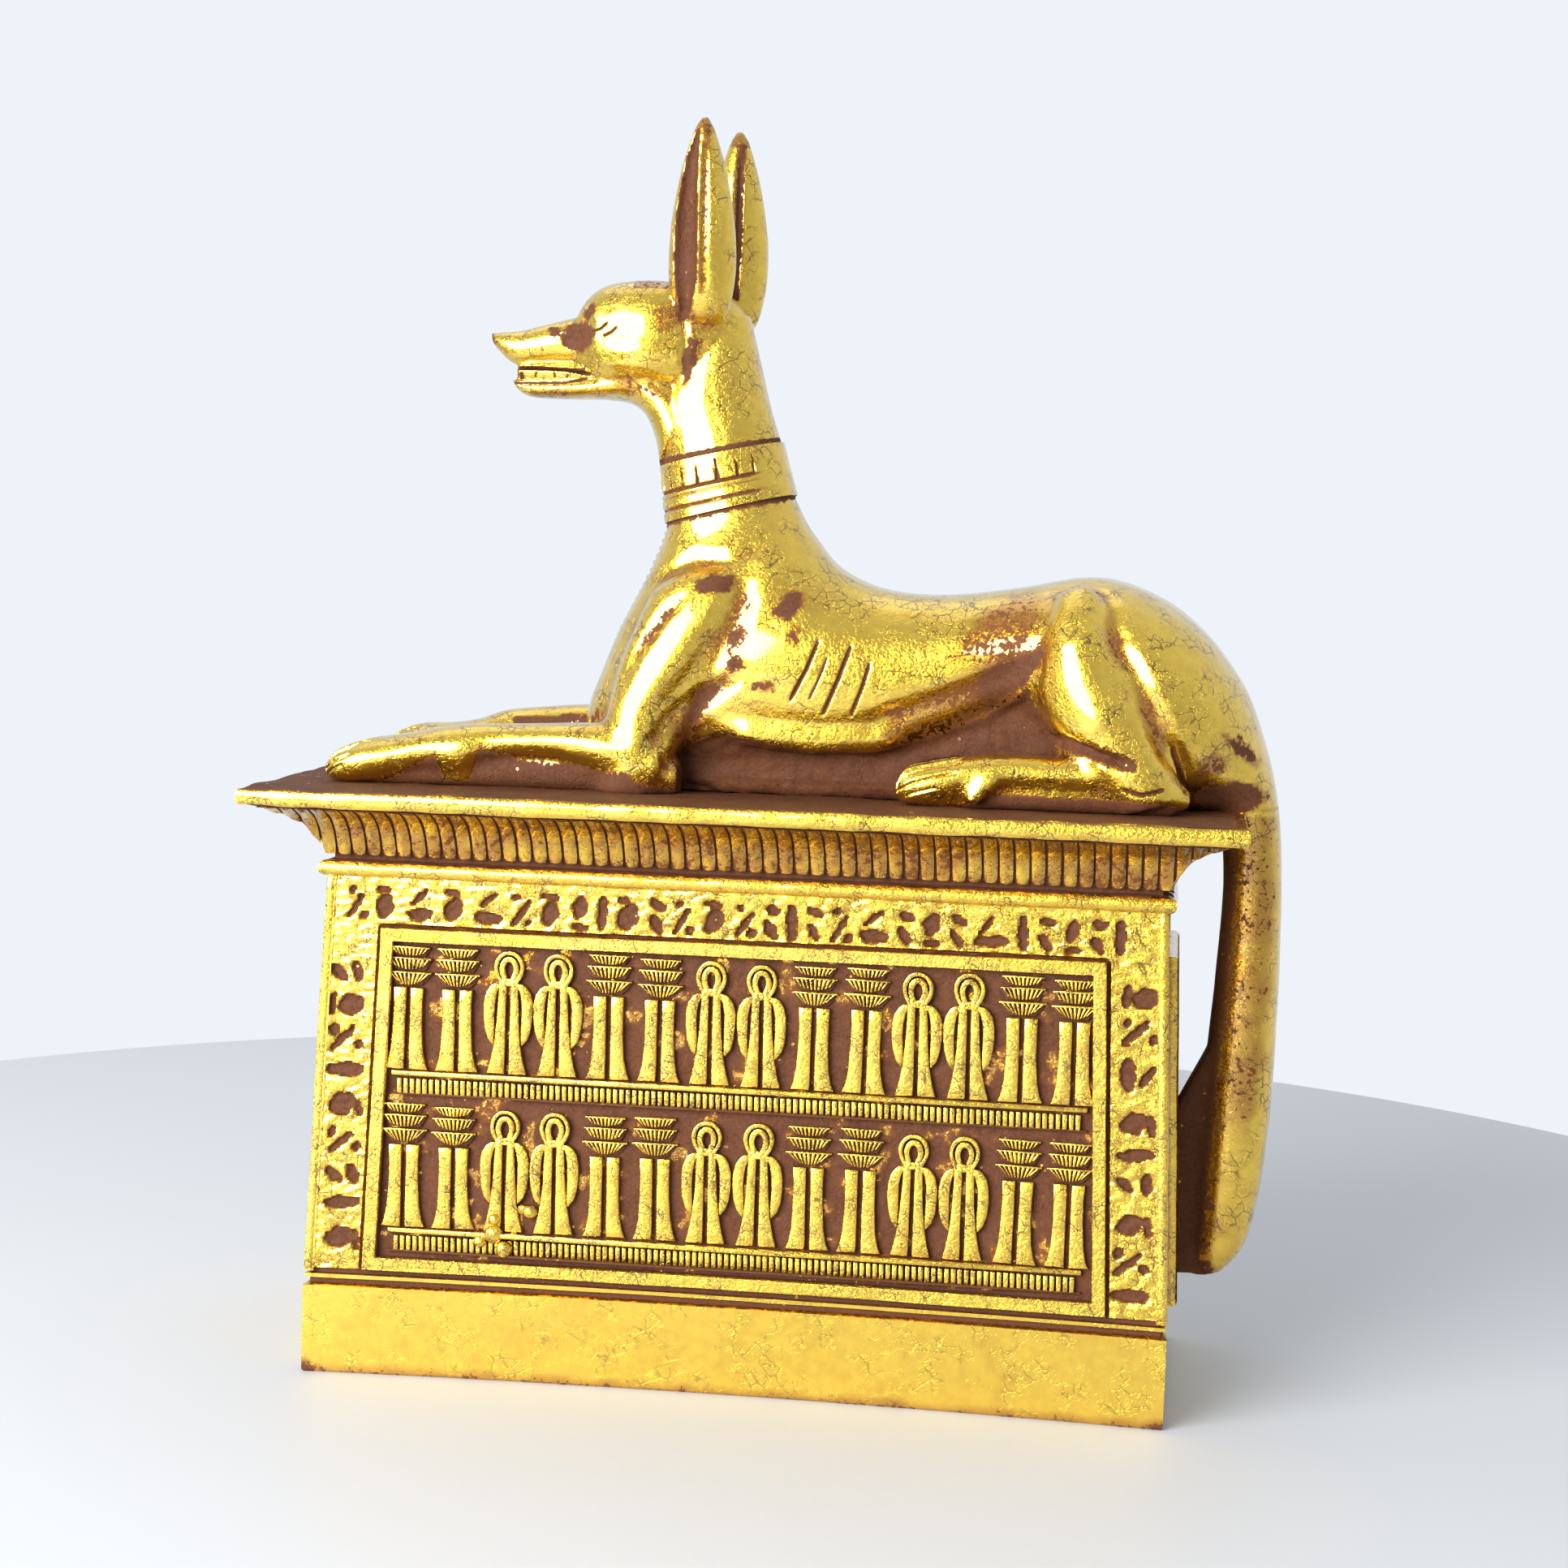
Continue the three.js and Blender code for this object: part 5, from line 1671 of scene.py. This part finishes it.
class JACKAL_OT_relief(Operator):
    """Models the two registers of figures on every wall, and their tiled bands on all but the end that is
    kept clear
    """

    bl_idname = "jackal.relief"
    bl_label = "Relief"

    def execute(self, context):
        p = sizes("panel_sizes")
        rng = np.random.default_rng(11)
        for wall in walls():
            _, high, height, bands = registers(wall)
            depth = p.ground
            inner = wall.edge(high) - p.side - p.frame
            spread = wall.figures - (0.5 if wall.figures > 6 else 0.1)
            pitch = (2 * inner - 0.8 * MM) / spread
            tall = height - 0.9 * MM
            models = [pillar(tall, depth, wall.plain), knot(tall, depth, wall.plain)]
            pieces = []
            for band in bands:
                feet = band + p.band
                pieces += self.band(wall, band, feet, inner)
                for i in range(wall.figures):
                    x = (i - (wall.figures - 1) / 2) * pitch
                    if abs(x) < wall.keep_clear:
                        continue
                    turn, scale = rng.normal(0, 0.008), 1 + rng.normal(0, 0.008)
                    pieces.append(placed_copy(models[i // 2 % 2], x, feet + 0.1 * MM, turn, scale))
            for model in models:
                bpy.data.objects.remove(model)
            if wall.name == "front":
                pieces += [self.flaw(*row) for row in FLAWS]
            relief = joined(pieces, f"relief_{wall.name}")
            places, _ = array_of(relief)
            paint(relief, 0.92 * ramp(places[:, 2], 0.45 * depth, 0.85 * depth))
            relief.data.transform(wall.matrix @ Matrix.Translation((0, 0, -depth)))
            weather(relief, 0.00013, 0.0024, 7)
            drawn_in(relief)
            hand_in(relief, gilding("metal_leaf_on_bole_cast"), angle=45)
        return {"FINISHED"}

    def flaw(self, along, up, size):
        """A lump that a bubble in the mould left on the casting."""
        obj = start(bpy.ops.mesh.primitive_ico_sphere_add, "lump", subdivisions=2, radius=size * MM)
        bpy.ops.transform.translate(value=(along * MM, up * MM, 1.2 * MM))
        bpy.ops.transform.resize(value=(1, 1, 0.8), center_override=(0, 0, 1.2 * MM))
        close_edit()
        return obj

    def band(self, wall, foot, feet, inner):
        """A thin rail under the figures' feet, a sill and the row of tiles between them."""
        if wall.keep_clear:
            return []
        p = sizes("panel_sizes")
        made = []
        for name, half, low, high, share, bevel in (
            ("rail", inner, feet - 1.1 * MM, feet - 0.15 * MM, 0.95, 0.25 * MM),
            ("sill", inner, foot + 1.1 * MM, foot + 1.5 * MM, 0.6, 0.12 * MM),
            ("tile", 0.36 * p.tile, foot + 1.4 * MM, feet - 1.6 * MM, 0.85, 0.15 * MM),
        ):
            made.append(strip(name, [(0, half, low), (0, half, high)], p.ground * share, bevel))
        rail, sill, tile = made
        count = int(2 * inner / p.tile) - 1
        tiles = [placed_copy(tile, (k - (count - 1) / 2) * p.tile, 0) for k in range(count)]
        bpy.data.objects.remove(tile)
        return [rail, sill, *tiles]


def walls():
    """The four walls. The end walls' frames stand out further, and one end keeps the middle of its panel
    clear of figures and has no tiled bands.
    """
    p = sizes("panel_sizes")
    end_proud = p.proud + 1.1 * MM
    return [
        Wall(0, figures=p.long_figures, proud=p.proud),
        Wall(math.pi, plain=True, figures=p.long_figures, proud=p.proud),
        Wall(-math.pi / 2, plain=True, figures=p.end_figures, proud=end_proud),
        Wall(math.pi / 2, plain=True, figures=p.end_figures, proud=end_proud, keep_clear=8 * MM),
    ]


def plate(name, corners, cell, depth):
    """A slab with a fine even front: corners are foot left, foot right, top right and top left."""
    (x0, y0), (x1, _), (x2, y1), (x3, _) = corners
    columns = max(2, round(max(x1 - x0, x2 - x3) / cell))
    rows = max(2, round((y1 - y0) / cell))
    grid = {"x_subdivisions": columns, "y_subdivisions": rows, "size": 2.0}
    obj = start(bpy.ops.mesh.primitive_grid_add, name, **grid)
    close_edit()
    places, _ = array_of(obj)
    across, up = (places[:, 0] + 1) / 2, (places[:, 1] + 1) / 2
    left, right = x0 + (x3 - x0) * up, x1 + (x2 - x1) * up
    face = np.zeros(len(up))
    place_all(obj, np.column_stack([left + (right - left) * across, y0 + (y1 - y0) * up, face]))
    choose_all(obj)
    bpy.ops.mesh.region_to_loop()
    bpy.ops.mesh.extrude_edges_move(TRANSFORM_OT_translate={"value": (0, 0, -depth)})
    bpy.ops.mesh.edge_face_add()
    close_outwards()
    return obj


def marks(a, b, c):
    """Six marks of a few strokes, none of them a letter, a little different each time.

    A stroke has both its ends, along the row in mm and up it as a share of its half height, and its
    half width in mm. Each mark's strokes are followed by the room that it takes along the row.
    """
    return (
        ([(1.9, -0.5, 2.8 + 0.5 * a, 0.2, 1.5 + 0.3 * b), (1, 0.9, 2.9 + c, 0.8, 0.5)], 6.2),
        (
            [(1, -0.6, 5 + b, -0.55 - 0.1 * a, 0.95 + 0.15 * c), (1.4, 0.2 * a, 3.8 + 0.5 * c, 0.8, 0.42)],
            7.4 + b,
        ),
        ([(0.9, -0.85, 1 + 0.5 * a, 0.85, 0.75 + 0.15 * b)], 3.4),
        ([(0.9, 0.75, 2.8, 0.6 + 0.2 * a, 0.65 + 0.1 * b), (0.9, -0.2, 2.2, -0.85, 0.7 + 0.2 * c)], 4.6),
        (
            [
                (0.6, -0.85, 3.1 + 0.5 * a, 0.4, 0.45),
                (1, 0.75, 1.5, 0.75 + 0.1 * b, 0.55),
                (3, -0.8, 3.6, -0.7, 0.6 + 0.2 * c),
            ],
            5.2,
        ),
        ([(1.5, -0.1, 1.8 + 0.4 * a, 0.6, 1.25 + 0.2 * b), (0.8, -0.9, 3, -0.85 - 0.1 * c, 0.5)], 4.8),
    )


def stroke_row(rng, begin, end, half):
    """Strokes of marks along a row: both ends and the half width of each, in mm."""
    strokes = []
    at, last = begin, -1
    while at < end:
        kind = rng.integers(6)
        if kind == last:
            kind = (kind + 1) % 6
        last = kind
        mark, room = marks(*rng.uniform(-1, 1, 3))[kind]
        for x0, y0, x1, y1, width in mark:
            strokes.append(((at + x0, y0 * half), (at + x1, y1 * half), width))
        at += room
    return strokes


def stroke_rows(wall):
    """The strokes of a wall's frieze and side bands, in metres on the wall."""
    p = sizes("panel_sizes")
    rng = np.random.default_rng({"front": 3, "back": 5, "left": 7, "right": 9}[wall.name])
    middle = wall.slope - p.frieze / 2 - 0.3 * MM
    reach = wall.edge(middle) / MM - 4
    strokes = []
    for (a, b), (c, d), half in stroke_row(rng, -reach, reach - 3, 3.1):
        strokes.append(((a * MM, middle + b * MM), (c * MM, middle + d * MM), half * MM))
    if wall.half < 0.05:
        return strokes
    foot, top = p.foot + 3 * MM, wall.slope - p.frieze - 1.6 * MM
    larger = 1.3 * MM
    for side in (-1, 1):
        for (a, b), (c, d), half in stroke_row(rng, 0, (top - foot) / larger - 4, 2.4):
            x = wall.edge(foot) - p.side / 2 - 1.2 * MM
            ends = [(side * x + across * larger, foot + up * larger) for up, across in ((a, b), (c, d))]
            strokes.append((*ends, half * larger))
    return strokes


class JACKAL_OT_fields(Operator):
    """Models each wall's field with its shallow strokes, its corner beads, frame and ground"""

    bl_idname = "jackal.fields"
    bl_label = "Fields"

    def frame(self, wall):
        """The panel's frame, with rounded edges."""
        p = sizes("panel_sizes")
        foot, top = p.foot, wall.slope - p.frieze
        depth = p.ground + wall.proud
        grid = {"x_subdivisions": 1, "y_subdivisions": 1, "size": 2.0}
        obj = start(bpy.ops.mesh.primitive_grid_add, "frame", **grid)
        close_edit()
        for vertex in obj.data.vertices:
            up = foot if vertex.co.y < 0 else top
            vertex.co = Vector((math.copysign(wall.edge(up) - p.side, vertex.co.x), up, 0))
        choose_all(obj)
        bpy.ops.mesh.inset(thickness=p.frame)
        bpy.ops.mesh.delete(type="FACE")
        bpy.ops.mesh.select_all(action="SELECT")
        bpy.ops.mesh.subdivide(number_cuts=12)
        raised(obj, depth, 0.95 * MM, 4)
        obj.data.transform(Matrix.Translation((0, 0, -p.ground)))
        places, _ = array_of(obj)
        paint(obj, ramp(places[:, 2], -0.4 * MM, 0.1 * MM))
        return obj

    def field(self, wall):
        """The frieze and the two side bands, pressed with strokes, and the beads at the corners."""
        p = sizes("panel_sizes")
        cell = (0.7 if wall.plain else 0.36) * MM
        foot, top, end = p.foot, wall.slope - p.frieze, wall.slope + 0.4 * MM
        bead = 1.7 * MM
        thick = p.ground + 0.6 * MM
        parts = [plate("frieze", wall.shape(top, end, bead), cell, thick)]
        for side in (-1, 1):
            a, b = sorted(side * (wall.edge(foot) - by) for by in (bead, p.side))
            c, d = sorted(side * (wall.edge(top) - by) for by in (bead, p.side))
            parts.append(plate("band", [(a, foot), (b, foot), (d, top), (c, top)], cell, thick))
        plates = joined(parts, "field_plates")
        self.press_strokes(plates, wall)
        pieces = [plates]
        for side in (-1, 1):
            heights = np.linspace(foot - 0.6 * MM, end, 24)
            rows = [(side * (wall.edge(up) - bead / 2 - 0.05 * MM), bead / 2, up) for up in heights]
            piece = strip("bead", rows, thick + 0.1 * MM, 0.5 * MM)
            piece.data.transform(Matrix.Translation((0, 0, -thick)))
            paint(piece, np.full(len(piece.data.vertices), 1.0))
            pieces.append(piece)
        return joined(pieces, "field")

    def press_strokes(self, plates, wall):
        """Presses the strokes and the edge beside the frame, which keep their bole."""
        p = sizes("panel_sizes")
        places, _ = array_of(plates)
        flat = places[:, :2]
        front = places[:, 2] > -0.1 * MM
        depth = np.zeros(len(places))
        lumps = uneven(places / (np.array([1.9, 0.9, 1.5]) * MM), 1)
        ragged = uneven(places, 1.1 * MM)
        for a, b, half in stroke_rows(wall):
            away, along = line_distance(flat, [a, b])
            swell = half * (0.75 + 0.35 * np.sin(math.pi * along)) + (0.3 * ragged + 0.35 * lumps) * MM
            depth = np.maximum(depth, ramp(swell - away, -0.25 * MM, 0.12 * MM))
        outline = wall.shape(p.foot, wall.slope - p.frieze, p.side)
        away, _ = line_distance(flat, [*outline, outline[0]])
        edge = ramp(-away, -0.75 * MM, -0.2 * MM)
        down = front * np.maximum(depth * 0.75, edge * 0.7) * MM
        places[:, 2] += front * (lumps * 0.26 * MM - 0.3 * MM) - down
        place_all(plates, places)
        paint(plates, 1 - 0.92 * np.maximum(depth, edge * 0.8) + np.clip(lumps, -0.5, 0) * 0.35)

    def ground(self, wall):
        """The panel's sunk ground, left rough."""
        p = sizes("panel_sizes")
        low, high, _, _ = registers(wall)
        corners = wall.shape(low, high, p.side + p.frame - 0.3 * MM)
        obj = plate("ground", corners, (1.6 if wall.plain else 0.8) * MM, 0.6 * MM)
        places, _ = array_of(obj)
        front = places[:, 2] > -0.1 * MM
        lumps = uneven(places, 1.5 * MM) + uneven(places, 4 * MM)
        places[:, 2] += front * lumps * 0.16 * MM - p.ground
        place_all(obj, places)
        patches = uneven(places, 3.4 * MM, (9, 2, 5))
        paint(obj, 0.16 + 0.4 * ramp(patches + 0.3 * lumps, 0.1, 0.5))
        return obj

    def execute(self, context):
        for wall in walls():
            pieces = {"field": self.field(wall), "frame": self.frame(wall), "ground": self.ground(wall)}
            for name, piece in pieces.items():
                piece.name = f"{name}_{wall.name}"
                piece.data.transform(wall.matrix)
                weather(piece, 0.00012, 0.005, 8)
                drawn_in(piece)
                hand_in(piece, gilding("metal_leaf_on_bole_cast"))
        return {"FINISHED"}


class JACKAL_OT_stage(Operator):
    """Sets the pale floor, the soft studio light and the camera"""

    bl_idname = "jackal.stage"
    bl_label = "Stage"

    def floor(self, look):
        """A round pale floor, drawn out towards the viewer."""
        circle = {"vertices": 192, "radius": FLOOR_RADIUS, "fill_type": "NGON", "location": FLOOR_MIDDLE}
        floor = start(bpy.ops.mesh.primitive_circle_add, "floor", **circle)
        close_edit()
        for vertex in floor.data.vertices:
            if vertex.co.y < 0:
                vertex.co.y *= 4
        # Matt paint on board: an even pale ground with a faint, blurred sheen
        board = bpy.data.materials.new("matt_painted_board")
        board.use_nodes = True
        shader = board.node_tree.nodes["Principled BSDF"]
        shader.inputs["Base Color"].default_value = (*look.floor, 1)
        shader.inputs["Roughness"].default_value = 0.55
        floor.data.materials.append(board)

    def surround(self, scene, look):
        """An even pale surround for the eye, whose light is weaker on one side."""
        world = bpy.data.worlds.new("pale_surround")
        world.use_nodes = True
        scene.world = world
        tree = world.node_tree
        tree.nodes.clear()
        sky = (*look.sky, 1)
        seen = node(tree, "LightPath", output="Is Camera Ray")
        shown = node(tree, "Background", {"Color": sky, "Strength": 1.0})
        ray = node(tree, "TexCoord", output="Generated")
        away = node(tree, "VectorMath", [ray, BRIGHT_SIDE], output="Value", operation="DOT_PRODUCT")
        strength = node(tree, "MapRange", [away, -0.7, 0.5, 0.56, 0.85], interpolation_type="SMOOTHSTEP")
        lit = node(tree, "Background", {"Color": sky, "Strength": strength})
        blend = node(tree, "MixShader", [seen, lit, shown])
        node(tree, "OutputWorld", {"Surface": blend})

    def light(self, name, place, power, width, height):
        """A large soft light that shines on the object's middle."""
        light = bpy.data.lights.new(name, "AREA")
        light.energy = power
        light.shape = "ELLIPSE"
        light.size = width
        light.size_y = height
        lamp = bpy.data.objects.new(name, light)
        lamp.location = place
        lamp.rotation_euler = (Vector(LIT_POINT) - Vector(place)).to_track_quat("-Z", "Y").to_euler()
        bpy.context.scene.collection.objects.link(lamp)

    def camera(self, scene):
        """The camera at the photograph's viewing angle."""
        yaw, pitch, roll = (math.radians(angle) for angle in CAMERA_TURN)
        ahead = Vector((-math.sin(yaw) * math.cos(pitch), math.cos(yaw) * math.cos(pitch), math.sin(pitch)))
        sideways = Vector((math.cos(yaw), math.sin(yaw), 0))
        above = sideways.cross(ahead)
        right = sideways * math.cos(roll) + above * math.sin(roll)
        up = above * math.cos(roll) - sideways * math.sin(roll)
        lens = bpy.data.cameras.new("camera")
        lens.sensor_width = SENSOR_WIDTH
        lens.lens = SENSOR_WIDTH * FOCAL_PIXELS / PICTURE_PIXELS
        lens.clip_start = 0.01
        camera = bpy.data.objects.new("camera", lens)
        turned = Matrix((right, up, -ahead)).transposed().to_4x4()
        camera.matrix_world = Matrix.Translation(Vector(CAMERA_PLACE) * MM) @ turned
        scene.collection.objects.link(camera)
        scene.camera = camera

    def execute(self, context):
        look = sizes("stage_look")
        self.floor(look)
        self.surround(context.scene, look)
        for name, (place, share, width, height) in LIGHTS.items():
            self.light(name, place, look.key * share, width, height)
        self.camera(context.scene)
        context.scene.view_settings.view_transform = "Standard"
        return {"FINISHED"}


class JACKAL_PT_sidebar(Panel):
    """Lists the steps that model the jackal on its chest."""

    bl_label = "Jackal on a Chest"
    bl_idname = "JACKAL_PT_sidebar"
    bl_space_type = "VIEW_3D"
    bl_region_type = "UI"
    bl_category = "Jackal"

    def draw(self, context):
        for operator in STEPS:
            self.layout.operator(operator.bl_idname)


STEPS = (
    JACKAL_OT_stage,
    JACKAL_OT_body,
    JACKAL_OT_head,
    JACKAL_OT_collar,
    JACKAL_OT_chest,
    JACKAL_OT_cornice,
    JACKAL_OT_slab,
    JACKAL_OT_fields,
    JACKAL_OT_relief,
)
GROUPS = {
    "chest_sizes": ChestSizes,
    "panel_sizes": PanelSizes,
    "jackal_sizes": JackalSizes,
    "gilding_look": GildingLook,
    "stage_look": StageLook,
}


def register():
    for group in GROUPS.values():
        bpy.utils.register_class(group)
    for name, group in GROUPS.items():
        setattr(bpy.types.Scene, name, PointerProperty(type=group))
    for operator in STEPS:
        bpy.utils.register_class(operator)
    bpy.utils.register_class(JACKAL_PT_sidebar)


def unregister():
    bpy.utils.unregister_class(JACKAL_PT_sidebar)
    for operator in reversed(STEPS):
        bpy.utils.unregister_class(operator)
    for name in GROUPS:
        delattr(bpy.types.Scene, name)
    for group in reversed(GROUPS.values()):
        bpy.utils.unregister_class(group)


def main():
    register()
    for operator in STEPS:
        group, step = operator.bl_idname.split(".")
        getattr(getattr(bpy.ops, group), step)()


if __name__ == "__main__":
    main()
